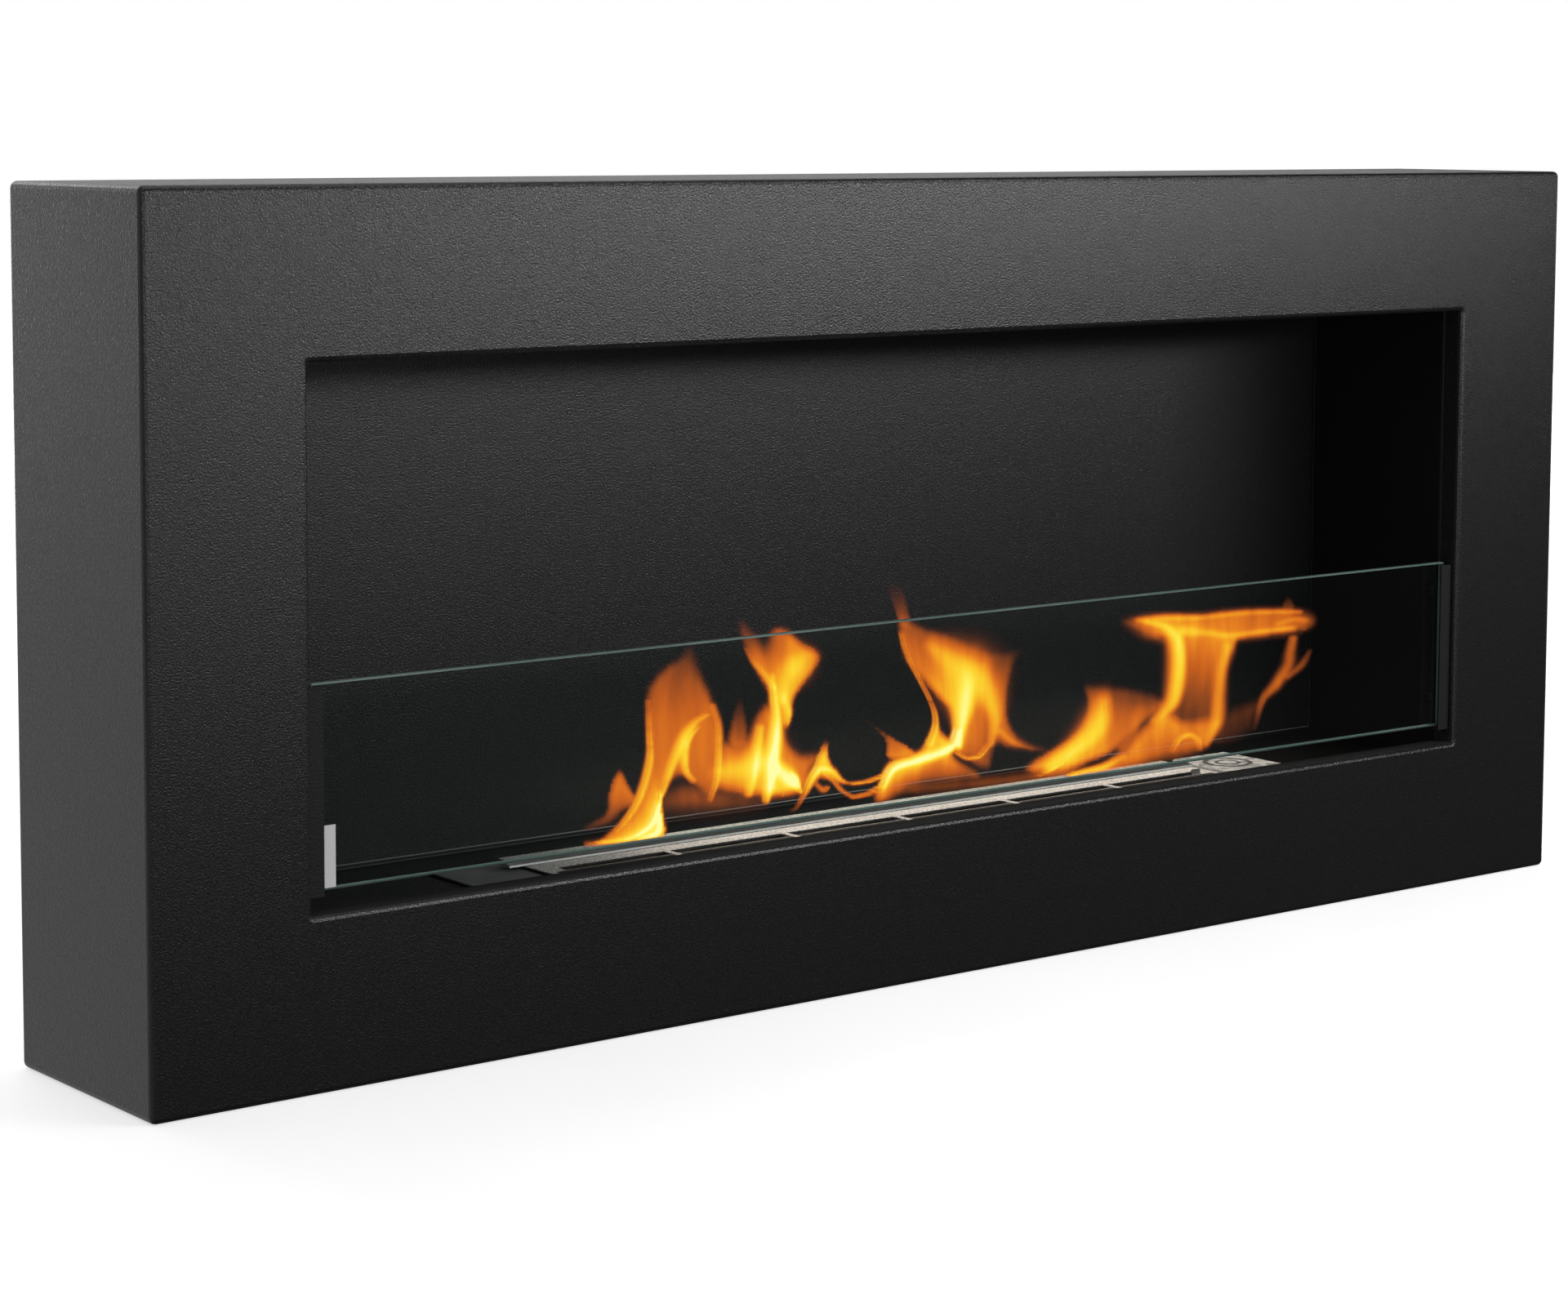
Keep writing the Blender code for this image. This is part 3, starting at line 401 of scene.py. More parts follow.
def burner_painted_shade(make):
    """How far the burner's top plate is darkened with painted shade, from 0 to the shade's full depth.

    The shade is painted under its top face, and in the strip before the windows, but not at the bridges,
    which so show as painted highlight lines across the strip.
    """
    low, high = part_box("burner_top_plate")
    strip = low.y + SHADED_STRIP * (high.y - low.y)
    before = make.span(make.axis("Y"), strip + STRIP_EDGE[0], strip + STRIP_EDGE[1], PLATE_SHADE, 0.0)
    # The bridges are left out of the strip's painted shade, which paints highlight lines across it.
    turns = make.math("DIVIDE", make.axis("X"), BRIDGE_PITCH)
    beside = make.math("ABSOLUTE", make.math("SUBTRACT", turns, make.math("ROUND", turns)))
    bridge = BRIDGE_WIDTH / BRIDGE_PITCH
    clear = make.span(beside, BRIDGE_FADE[0] * bridge, BRIDGE_FADE[1] * bridge, 0.0, 1.0)
    under = make.span(make.axis("Z"), high.z + SHADED_EDGE[0], high.z + SHADED_EDGE[1], PLATE_SHADE, 0.0)
    return make.math("MAXIMUM", under, make.math("MULTIPLY", before, clear))


def speckled_steel():
    """The burner's top plate: stainless sheet that heat and wiping left pale, dull and speckled, with
    painted shade in the strip before the windows and under its top face.
    """
    make = Finish("speckled_steel_look")
    speckle = make.noise(1.0, detail=3.0, roughness=0.7, vector=make.stretched(520.0, 900.0, 900.0))
    cloud = make.noise(35.0, detail=4.0)
    grain = make.math("ADD", make.math("MULTIPLY", speckle, 0.85), make.math("MULTIPLY", cloud, 0.15))
    dark = (0.24, 0.235, 0.23)
    middle = (0.58, 0.57, 0.56)
    light = (0.95, 0.945, 0.94)
    # Painted shade darkens the strip before the windows and all below the top face.
    painted_shade = burner_painted_shade(make)
    base = make.blend(painted_shade, make.ramp(grain, [(0.36, dark), (0.48, middle), (0.62, light)]), PLATE_SHADE_COLOUR)
    rough = make.span(grain, 0.35, 0.65, 0.62, 0.40)
    rough = make.math("MAXIMUM", rough, make.span(painted_shade, 0.0, PLATE_SHADE, 0.0, 0.85))
    surface = make.principled(
        Base_Color=base,
        Metallic=make.span(painted_shade, 0.0, PLATE_SHADE, 0.3, 0.0),
        Roughness=rough,
        Specular_IOR_Level=0.3,
        Normal=make.bump(grain, 0.0002, 0.8),
    )
    return make.done(surface)


def dark_sheet():
    """The dark grey plate at the burner's left end: matte, faintly clouded sheet."""
    make = Finish("dark_plate_look")
    cloud = make.noise(60.0, detail=4.0)
    fine = make.noise(1100.0, detail=2.0)
    base = make.ramp(cloud, [(0.3, (0.12, 0.123, 0.127)), (0.7, (0.18, 0.183, 0.187))])
    rough = make.vary(fine, 0.48, 0.62)
    surface = make.principled(
        Base_Color=base, Metallic=0.1, Roughness=rough, Normal=make.bump(fine, 0.00002, 0.6)
    )
    return make.done(surface)


def ring_groove(make, centre_x, centre_y):
    """1 in the grooves of the pressed rings round a centre, 0 away from them."""
    across = make.math("SUBTRACT", make.axis("X"), centre_x)
    along = make.math("SUBTRACT", make.axis("Y"), centre_y)
    squares = make.math("ADD", make.math("MULTIPLY", across, across), make.math("MULTIPLY", along, along))
    distance = make.math("SQRT", squares)
    groove = 0.0
    for radius, width in RINGS:
        away = make.math("ABSOLUTE", make.math("SUBTRACT", distance, radius))
        groove = make.math("MAXIMUM", groove, make.span(away, width * RING_FLAT, width, 1.0, 0.0))
    return groove


def zinc_sheet():
    """The light plate at the burner's right end: galvanised sheet with spangle and two pressed rings, with
    painted shade in their grooves.
    """
    make = Finish("bright_plate_look")
    low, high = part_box("right_floor_cover")
    spangle = make.cells(230.0, output="Color")
    tone = make.noise(420.0, detail=3.0)
    shine = make.math("MULTIPLY", make.math("ADD", spangle, tone), 0.5)
    dark = (0.30, 0.31, 0.32)
    middle = (0.56, 0.57, 0.58)
    light = (0.86, 0.87, 0.88)
    base = make.ramp(shine, [(0.25, dark), (0.5, middle), (0.75, light)])
    groove = ring_groove(make, low.x + RING_PLACE[0], (low.y + high.y) / 2.0 + RING_PLACE[1])
    # The grooves are darkened with painted shade.
    base = make.blend(make.math("MULTIPLY", groove, 0.85), base, GROOVE_SHADE_COLOUR)
    rough = make.vary(tone, 0.28, 0.5)
    height = make.math("SUBTRACT", make.math("MULTIPLY", shine, 0.2), groove)
    surface = make.principled(
        Base_Color=base, Metallic=0.4, Roughness=rough, Normal=make.bump(height, 0.0003, 0.6)
    )
    return make.done(surface)


def plated_screw():
    """Zinc-plated steel, faintly blue, with the fine lines of turning."""
    make = Finish("zinc_look")
    fine = make.noise(2500.0, detail=3.0)
    base = make.ramp(fine, [(0.3, (0.50, 0.53, 0.56)), (0.7, (0.68, 0.70, 0.72))])
    rough = make.vary(fine, 0.22, 0.42)
    return make.done(
        make.principled(Base_Color=base, Metallic=1.0, Roughness=rough, Normal=make.bump(fine, 0.00002))
    )


def soft_rubber():
    """Black rubber with a dull, slightly dusty face."""
    make = Finish("rubber_look")
    dust = make.noise(700.0, detail=4.0, roughness=0.7)
    base = make.ramp(dust, [(0.35, (0.012, 0.012, 0.013)), (0.75, (0.045, 0.044, 0.043))])
    return make.done(make.principled(Base_Color=base, Roughness=0.78, Normal=make.bump(dust, 0.00004)))


def woolly(name, light, dark, scale):
    """A board of pressed fibres."""
    make = Finish(name)
    fibres = make.noise(scale, detail=6.0, roughness=0.75, vector=make.stretched(1.0, 2.6, 1.4))
    clumps = make.noise(scale * 0.12, detail=3.0)
    height = make.math("MULTIPLY", make.math("ADD", fibres, clumps), 0.5)
    base = make.ramp(height, [(0.35, dark), (0.65, light)])
    surface = make.principled(
        Base_Color=base, Roughness=0.95, Specular_IOR_Level=0.1, Normal=make.bump(height, 0.0006)
    )
    return make.done(surface)


def clear_glass():
    """The pane's two faces: see-through, a little green, mirroring more at the slant."""
    make = Finish("glass_face")
    slant = make.nodes.new("ShaderNodeLayerWeight")
    slant.inputs["Blend"].default_value = 0.5
    rise = make.math("POWER", slant.outputs["Facing"], GLASS_SLANT_POWER)
    share = make.math("ADD", make.math("MULTIPLY", rise, GLASS_SLANT_REFLECTION), GLASS_REFLECTION)
    smear = make.noise(9.0, detail=4.0, roughness=0.6)
    clear = make.shader("ShaderNodeBsdfTransparent", Color=GLASS_TINT)
    rough = make.span(smear, 0.4, 0.8, 0.015, 0.06)
    gloss = make.shader("ShaderNodeBsdfGlossy", Color=WHITE, Roughness=rough)
    return make.done(make.mix(share, clear, gloss))


def ground_glass():
    """The pane's ground edges: pale green, frosted."""
    make = Finish("glass_edge")
    frost = make.noise(2200.0, detail=2.0)
    along = make.noise(14.0, detail=2.0)
    base = make.ramp(along, [(0.35, (0.13, 0.20, 0.18)), (0.65, (0.20, 0.28, 0.26))])
    rough = make.vary(frost, 0.3, 0.5)
    surface = make.principled(
        Base_Color=base, Roughness=rough, Specular_IOR_Level=0.6, Normal=make.bump(frost, 0.00003)
    )
    return make.done(surface)


def paper():
    """The blank label: smooth white paper with a faint fibre."""
    make = Finish("label_look")
    fibre = make.noise(1800.0, detail=4.0)
    base = make.ramp(fibre, [(0.3, (0.80, 0.81, 0.81)), (0.7, (0.90, 0.90, 0.89))])
    return make.done(make.principled(Base_Color=base, Roughness=0.6, Normal=make.bump(fibre, 0.00001)))


# The flames' colours and how much they cover, along the heat from 0 to 1
FLAME_COLOURS = (
    (0.0, (0.09, 0.018, 0.010)),
    (0.1, (0.17, 0.036, 0.017)),
    (0.2, (0.31, 0.068, 0.018)),
    (0.3, (0.54, 0.108, 0.018)),
    (0.4, (0.82, 0.155, 0.015)),
    (0.5, (0.94, 0.214, 0.016)),
    (0.6, (1.00, 0.34, 0.016)),
    (0.7, (1.00, 0.50, 0.022)),
    (0.8, (1.00, 0.645, 0.034)),
    (0.9, (1.00, 0.806, 0.102)),
    (1.0, (1.00, 0.92, 0.36)),
)
FLAME_COVERS = (
    (0.0, 0.0),
    (0.03, 0.0),
    (0.1, 0.06),
    (0.2, 0.16),
    (0.3, 0.28),
    (0.4, 0.41),
    (0.5, 0.55),
    (0.6, 0.68),
    (0.7, 0.8),
    (0.8, 0.9),
    (1.0, 1.0),
)


def flame_look():
    """Flames: colour and density follow the mesh's heat, broken up by rising streaks."""
    make = Finish("flame_look")
    attribute = make.nodes.new("ShaderNodeAttribute")
    attribute.attribute_name = "warmth"
    heat = attribute.outputs["Fac"]
    streaks = make.noise(1.0, detail=2.0, vector=make.stretched(140.0, 60.0, 24.0))
    change = make.vary(streaks, -FLAME_STREAKS, FLAME_STREAKS)
    inside = make.math("MULTIPLY", heat, make.math("SUBTRACT", STREAK_HOTTEST, heat))
    streaked = make.math("MULTIPLY", change, make.math("MULTIPLY", inside, STREAK_GAIN))
    hot = make.math("ADD", make.math("MULTIPLY", heat, HEAT_GAIN), streaked)
    cover = make.ramp(hot, [(place, (share,) * 3) for place, share in FLAME_COVERS])
    colour = make.ramp(hot, FLAME_COLOURS)
    glow = make.shader("ShaderNodeEmission", Color=colour, Strength=FLAME_BRIGHTNESS)
    return make.done(make.mix(cover, make.shader("ShaderNodeBsdfTransparent"), glow))


def add_piece(name, mesh, body, slot, *materials):
    """A new piece of the object, riding on a CAD body."""
    piece = bpy.data.objects.new(name, mesh)
    bpy.context.scene.collection.objects.link(piece)
    for material in materials:
        mesh.materials.append(material)
    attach(piece, body)
    return piece


def dress(name, look):
    """Puts one finish on all of a CAD node's material slots."""
    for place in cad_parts[name].material_slots:
        place.material = look


def slot_looks():
    """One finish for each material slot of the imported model."""
    return {
        "casing_paint": powder_coat("casing_paint_look", CASING_BLACK, 0.31, 0.52),
        "firebox_paint": powder_coat("firebox_paint_look", FIREBOX_BLACK, 0.32, 0.42),
        "stainless": brushed_steel(
            "stainless_look", (0.58, 0.57, 0.56), 0.34, (60.0, 1500.0, 1500.0), 0.00002
        ),
        "burner_steel": brushed_steel(
            "burner_steel_look", (0.50, 0.49, 0.48), 0.38, (90.0, 1300.0, 600.0), 0.00002
        ),
        "dark_plate": dark_sheet(),
        "bright_plate": zinc_sheet(),
        "zinc": plated_screw(),
        "glass": clear_glass(),
        "label": paper(),
        "rubber": soft_rubber(),
        # The fibre's colours are darkened to paint the shade inside the burner that shows through the
        # windows.
        "fibre": woolly("fibre_look", (0.075, 0.055, 0.034), (0.018, 0.014, 0.010), 900.0),
        "insulation": woolly("insulation_look", (0.46, 0.43, 0.34), (0.26, 0.24, 0.18), 600.0),
    }


def finish_brackets(looks):
    """Dull paint on the pane's brackets and shelves, and black paint on the screws as painted shade."""
    matte = powder_coat("bracket_paint_look", BRACKET_BLACK, 0.55, 0.25)
    for side in ("left", "right"):
        dress("%s_glass_bracket" % side, matte)
        dress("%s_bracket_shelf" % side, matte)
        # Black paint on the screws is painted shade for the dark corner that they sit in.
        dress("%s_bracket_lower_screw" % side, looks["firebox_paint"])
        dress("%s_bracket_upper_screw" % side, looks["firebox_paint"])


def finish_firebox():
    """Black paint, with a painted highlight along the top of the floor's upstand and along the rear
    corners.
    """
    dress("firebox_floor", paint_with_edge_highlight("floor_paint_look", "Z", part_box("firebox_floor")[1].z))
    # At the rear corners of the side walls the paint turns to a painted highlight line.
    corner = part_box("firebox_back_panel")[0].y - CORNER_HIGHLIGHT_WIDTH
    for side in ("left", "right"):
        dress("firebox_%s_wall" % side, paint_with_edge_highlight("%s_wall_look" % side, "Y", corner))


def finish_burner():
    """The plate, the bar along its rear edge and the slide have their own steels."""
    dress("burner_top_plate", speckled_steel())
    dull = brushed_steel("dull_steel_look", (0.52, 0.51, 0.50), 0.60, (40.0, 900.0, 900.0), 0.00004)
    dress("flame_guard", dull)
    # The slide's dark brown is painted shade for the recess under the windows, with the flames' brown
    # reflection in it painted in.
    slide_shade_steel = brushed_steel(
        "slide_shade_steel_look", (0.09, 0.07, 0.05), 0.36, (50.0, 1200.0, 600.0), 0.00003
    )
    dress("snuffer_slide", slide_shade_steel)


def finish_nodes(looks):
    """Gives every CAD node the finish of its slot, then some nodes a finish of their own."""
    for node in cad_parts.values():
        for place in node.material_slots:
            place.material = looks[place.material.name.split(".")[0]]
    finish_brackets(looks)
    finish_firebox()
    finish_burner()


def chamfered_box(name, low, high, bevel):
    """A box whose edges are bevelled; its two large Y faces get material 0, the rest 1."""
    thing = bmesh.new()
    size = high - low
    bmesh.ops.create_cube(thing, size=1.0)
    bmesh.ops.scale(thing, vec=size, verts=thing.verts)
    bmesh.ops.translate(thing, vec=(low + high) / 2.0, verts=thing.verts)
    bmesh.ops.bevel(
        thing, geom=list(thing.edges), offset=bevel, segments=1, affect="EDGES", clamp_overlap=True
    )
    thing.normal_update()
    for face in thing.faces:
        face.material_index = 0 if abs(face.normal.y) > SQUARE_TO_AXIS else 1
    mesh = bpy.data.meshes.new(name)
    thing.to_mesh(mesh)
    thing.free()
    return mesh


def build_pane(face):
    """The glass pane, with ground edges, in the place of the CAD's plain one."""
    low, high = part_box("glass_pane")
    mesh = chamfered_box("pane_glass", low, high, PANE_BEVEL)
    pane = add_piece("pane_glass", mesh, "pane", "glass", face, ground_glass())
    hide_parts("glass_pane")


# The flames' shapes, drawn as seen from the front. A veil is a soft-edged sheet: how far its
# edge fades in millimetres, then its outline's points. A rib is a bright line. A point of a veil is
# millimetres across and up, and the heat in hundredths. A rib's point has its width before the heat.
FLAME_VEILS = (
    # The small flame at the left
    (3, (
        (-156, 111, 45), (-162, 101, 50), (-164, 91, 35), (-178, 85, 15),
        (-163, 85, 20), (-154, 91, 30), (-145, 95, 45), (-150, 103, 50),
    )),
    # The first tall flame, and the low veil at its foot
    (4, (
        (-113, 171, 6), (-118, 164, 24), (-126, 159, 32), (-134, 150, 36),
        (-136, 138, 40), (-135, 121, 42), (-137, 110, 40), (-145, 95, 40),
        (-164, 79, 54), (-175, 77, 60), (-155, 74, 74), (-130, 75, 92),
        (-129, 86, 90), (-129, 97, 60), (-121, 103, 42), (-113, 103, 38),
        (-107, 97, 36), (-99, 91, 34), (-95, 100, 42), (-94, 115, 46),
        (-96, 128, 44), (-101, 143, 38), (-108, 156, 32),
    )),
    (8, (
        (-128, 95, 30), (-113, 98, 36), (-96, 94, 36), (-79, 91, 30),
        (-65, 86, 24), (-72, 81, 12), (-100, 80, 10), (-128, 86, 18),
    )),
    # The second: its wide foot, a low point, and the lobe that it ends in
    (5, (
        (-93, 119, 36), (-81, 118, 44), (-74, 129, 42), (-64, 135, 50),
        (-56, 122, 60), (-51, 114, 46), (-42, 107, 42), (-30, 105, 42),
        (-35, 97, 40), (-38, 91, 38), (-44, 88, 60), (-58, 88, 80),
        (-73, 90, 60), (-95, 96, 46), (-95, 108, 54),
    )),
    (3, ((-84, 141, 10), (-90, 121, 38), (-85, 115, 46), (-79, 119, 38))),
    (4, (
        (-63, 141, 60), (-77, 161, 42), (-84, 178, 12), (-79, 179, 10),
        (-72, 172, 20), (-64, 167, 20), (-58, 172, 34), (-49, 171, 44),
        (-38, 163, 56), (-28, 157, 54), (-32, 148, 56), (-45, 136, 68),
        (-47, 128, 70), (-51, 122, 62), (-55, 124, 66), (-57, 133, 72),
    )),
    # The curl between the flames
    (3, (
        (-23, 111, 50), (-31, 102, 78), (-42, 83, 40), (-35, 89, 60),
        (-29, 93, 50), (-21, 91, 50), (-12, 89, 66), (-19, 96, 74),
        (-23, 104, 80),
    )),
    # The third tall flame, with its dark top, its left foot and a low point
    (4, (
        (21, 172, 30), (22, 157, 44), (28, 146, 44), (51, 126, 62),
        (59, 118, 66), (60, 100, 66), (68, 93, 38), (85, 86, 30),
        (91, 98, 36), (103, 95, 42), (127, 91, 20), (112, 97, 40),
        (102, 105, 46), (98, 119, 50), (101, 141, 26), (105, 148, 8),
        (87, 148, 28), (63, 158, 32), (42, 164, 34),
    )),
    (2, ((12, 190, 6), (23, 189, 6), (29, 166, 34), (21, 169, 34), (16, 179, 16))),
    (4, (
        (8, 78, 60), (13, 91, 80), (20, 98, 80), (35, 100, 78),
        (46, 115, 60), (50, 109, 66), (58, 103, 80), (60, 95, 56),
        (77, 85, 36), (75, 81, 28), (37, 83, 30), (18, 77, 34),
    )),
    (2, ((-3, 124, 6), (7, 116, 24), (18, 109, 40), (32, 100, 56), (16, 99, 52), (13, 109, 32))),
    # The glow along the burner
    (6, (
        (14, 84, 34), (84, 81, 34), (114, 81, 36), (145, 86, 60),
        (159, 85, 44), (145, 78, 54), (114, 75, 30), (37, 78, 24),
    )),
    # The fourth, low one
    (4, (
        (153, 124, 22), (155, 115, 44), (153, 107, 56), (143, 97, 62),
        (112, 83, 50), (132, 80, 66), (168, 84, 54), (182, 89, 46),
        (198, 98, 42), (215, 106, 36), (211, 112, 22), (190, 118, 24),
        (167, 122, 26),
    )),
    # The fifth: its foot, its stem and the long head that the stem carries
    (6, (
        (141, 76, 75), (159, 77, 70), (175, 81, 56), (200, 97, 54),
        (215, 104, 64), (228, 98, 46), (253, 97, 52), (254, 90, 52),
        (246, 82, 52), (237, 79, 46), (228, 77, 34), (203, 76, 42),
        (159, 73, 60),
    )),
    (5, (
        (217, 98, 20), (217, 130, 30), (213, 144, 56), (204, 150, 56),
        (237, 147, 54), (272, 141, 58), (262, 128, 46), (259, 112, 28),
        (258, 100, 20), (254, 90, 36), (235, 94, 20),
    )),
    (5, (
        (183, 156, 18), (194, 158, 46), (208, 158, 58), (236, 156, 50),
        (289, 154, 42), (316, 152, 36), (327, 146, 32), (318, 140, 44),
        (280, 138, 48), (256, 141, 52), (232, 145, 60), (213, 146, 60),
        (201, 145, 34), (190, 149, 16),
    )),
    (4, ((186, 156, 20), (201, 154, 40), (213, 144, 40), (211, 140, 14), (197, 145, 10))),
    (2, ((307, 161, 6), (312, 154, 26), (309, 148, 38), (304, 151, 34))),
    (6, (
        (258, 98, 18), (293, 102, 20), (286, 94, 18), (279, 84, 10),
        (259, 81, 14), (252, 84, 20),
    )),
)
FLAME_RIBS = (
    # The first flame: its white tongue, its rims, and the rib beside its hollow
    ((-168, 77, 2, 70), (-151, 77, 3, 84), (-137, 82, 4, 96), (-131, 92, 3, 98), (-130, 98, 1, 80)),
    ((-144, 76, 3, 80), (-133, 78, 4, 94), (-131, 86, 3, 100)),
    (
        (-163, 78, 2, 46), (-152, 86, 3, 62), (-143, 96, 4, 68), (-136, 110, 4, 66),
        (-134, 121, 3, 64), (-135, 143, 2, 42),
    ),
    (
        (-129, 96, 3, 74), (-125, 103, 4, 70), (-115, 121, 6, 74), (-109, 130, 4, 64),
        (-102, 134, 2, 50),
    ),
    (
        (-107, 128, 2, 56), (-112, 122, 3, 70), (-114, 114, 4, 74), (-113, 106, 3, 70),
        (-109, 101, 3, 56),
    ),
    ((-100, 138, 3, 50), (-96, 126, 3, 60), (-95, 103, 3, 72), (-99, 90, 2, 50)),
    # The second: its column and white foot, then its lobe
    ((-92, 104, 14, 58), (-82, 104, 18, 68), (-70, 106, 22, 76)),
    (
        (-61, 149, 4, 62), (-60, 138, 5, 80), (-59, 128, 7, 88), (-61, 116, 9, 94),
        (-63, 104, 9, 97), (-64, 93, 6, 90), (-65, 86, 3, 66),
    ),
    ((-71, 124, 5, 64), (-73, 112, 6, 78), (-74, 101, 6, 80), (-76, 91, 4, 66)),
    ((-59, 102, 10, 88), (-52, 96, 10, 94), (-46, 91, 4, 92)),
    ((-50, 99, 2, 84), (-46, 95, 3, 96), (-43, 88, 1, 84)),
    ((-54, 136, 8, 68), (-50, 146, 12, 64), (-44, 152, 15, 70), (-38, 156, 10, 56)),
    ((-60, 143, 3, 70), (-66, 150, 3, 60), (-74, 158, 3, 50), (-79, 165, 2, 36)),
    ((-53, 138, 6, 60), (-50, 130, 4, 70), (-51, 124, 2, 60)),
    # The curl
    (
        (-48, 79, 1, 22), (-45, 80, 1, 32), (-40, 87, 2, 60), (-35, 94, 4, 78),
        (-29, 98, 4, 84), (-21, 96, 4, 78), (-15, 91, 2, 66), (-7, 88, 1, 48),
        (10, 89, 1, 42),
    ),
    ((-27, 96, 2, 66), (-20, 91, 2, 60), (-14, 85, 2, 52), (-5, 81, 2, 46), (11, 82, 1, 48)),
    ((-32, 91, 2, 46), (-27, 87, 3, 50), (-24, 88, 2, 56)),
    # The third
    (
        (63, 101, 6, 90), (66, 111, 8, 88), (70, 124, 17, 88), (71, 135, 25, 82),
        (60, 145, 19, 66), (44, 155, 10, 48),
    ),
    ((88, 99, 4, 56), (91, 112, 8, 60), (86, 126, 14, 66), (80, 138, 14, 50)),
    ((21, 164, 2, 50), (26, 151, 2, 56), (42, 127, 2, 60), (46, 115, 3, 64), (42, 104, 4, 76)),
    (
        (12, 84, 3, 80), (18, 93, 5, 92), (30, 96, 6, 94), (45, 98, 7, 96),
        (58, 101, 6, 98), (63, 108, 4, 92),
    ),
    ((62, 97, 2, 60), (70, 93, 2, 70), (79, 93, 2, 66), (86, 98, 3, 60)),
    ((-7, 88, 1, 60), (2, 88, 2, 64), (12, 90, 2, 72)),
    ((-8, 81, 1, 50), (2, 82, 1, 56), (11, 85, 2, 66)),
    ((94, 105, 5, 50), (103, 98, 3, 46), (116, 93, 2, 30)),
    # The fourth
    (
        (168, 112, 14, 56), (164, 103, 18, 69), (155, 95, 16, 74), (141, 88, 11, 72),
        (126, 83, 6, 60),
    ),
    ((121, 78, 1, 50), (129, 81, 3, 74), (136, 83, 2, 66)),
    # The fifth: foot, both sides of the stem, the head's rims, the arch in the foot
    ((143, 76, 2, 84), (154, 77, 3, 78), (168, 78, 4, 70), (182, 82, 5, 56)),
    (
        (208, 99, 6, 54), (219, 109, 8, 70), (221, 126, 9, 77), (219, 142, 9, 79),
        (211, 151, 6, 74), (198, 155, 4, 60),
    ),
    ((245, 83, 5, 46), (252, 94, 9, 55), (253, 109, 9, 53), (255, 123, 9, 56), (262, 135, 10, 60)),
    ((222, 148, 8, 68), (244, 145, 6, 62), (270, 141, 5, 58), (312, 142, 4, 54)),
    ((194, 156, 4, 54), (213, 156, 5, 60), (241, 154, 4, 56), (297, 152, 4, 52), (316, 151, 3, 48)),
    ((302, 145, 4, 44), (312, 147, 4, 48), (320, 146, 4, 46)),
    ((220, 81, 2, 46), (225, 87, 3, 60), (232, 89, 4, 60), (239, 85, 3, 56), (241, 80, 2, 46)),
    # Its smoky wisps
    (
        (313, 136, 4, 44), (312, 128, 5, 40), (311, 120, 6, 38), (303, 110, 6, 40),
        (292, 102, 4, 36), (284, 87, 3, 14),
    ),
    ((325, 128, 2, 22), (320, 120, 4, 30), (311, 114, 4, 32)),
    ((197, 106, 9, 30), (191, 95, 9, 36), (182, 87, 7, 40)),
)


def smooth_line(points, step, closed=False):
    """Points close together along a smooth curve through the given rows, their other columns blended."""
    rows = np.array(points, float)
    if closed:
        rows = np.vstack([rows[-1], rows, rows[0], rows[1]])
    else:
        rows = np.vstack([2.0 * rows[0] - rows[1], rows, 2.0 * rows[-1] - rows[-2]])
    result = []
    for index in range(1, len(rows) - 2):
        before, start, end, after = rows[index - 1 : index + 3]
        count = max(2, int(np.hypot(*(end - start)[:2]) / step))
        for t in np.linspace(0.0, 1.0, count, endpoint=False):
            bend = (2.0 * before - 5.0 * start + 4.0 * end - after) * t**2
            twist = (3.0 * start - before - 3.0 * end + after) * t**3
            result.append(0.5 * (2.0 * start + (end - before) * t + bend + twist))
    if not closed:
        result.append(rows[-2])
    return np.array(result)


def between(values, low, high):
    """The slice of a rising row of values that lies between two limits."""
    return slice(*np.searchsorted(values, (low, high)))


def rib_heat(rib, xs, zs):
    """One rib's heat over the grid: it falls off smoothly to both sides of its line."""
    heat = np.zeros((len(xs), len(zs)))
    for x, z, width, warmth in smooth_line(rib, FLAME_STEP):
        reach = max(width, FLAME_THINNEST) * 0.5
        reach_x = reach * FLAME_SPREAD
        near_x = between(xs, x - RIB_REACH * reach_x, x + RIB_REACH * reach_x)
        near_z = between(zs, z - RIB_REACH * reach, z + RIB_REACH * reach)
        across = (xs[near_x] - x) / reach_x
        up = (zs[near_z] - z) / reach
        fall = np.exp(-math.log(2.0) * (across[:, None] ** 2 + up[None, :] ** 2))
        heat[near_x, near_z] = np.maximum(heat[near_x, near_z], warmth / 100.0 * fall)
    return heat


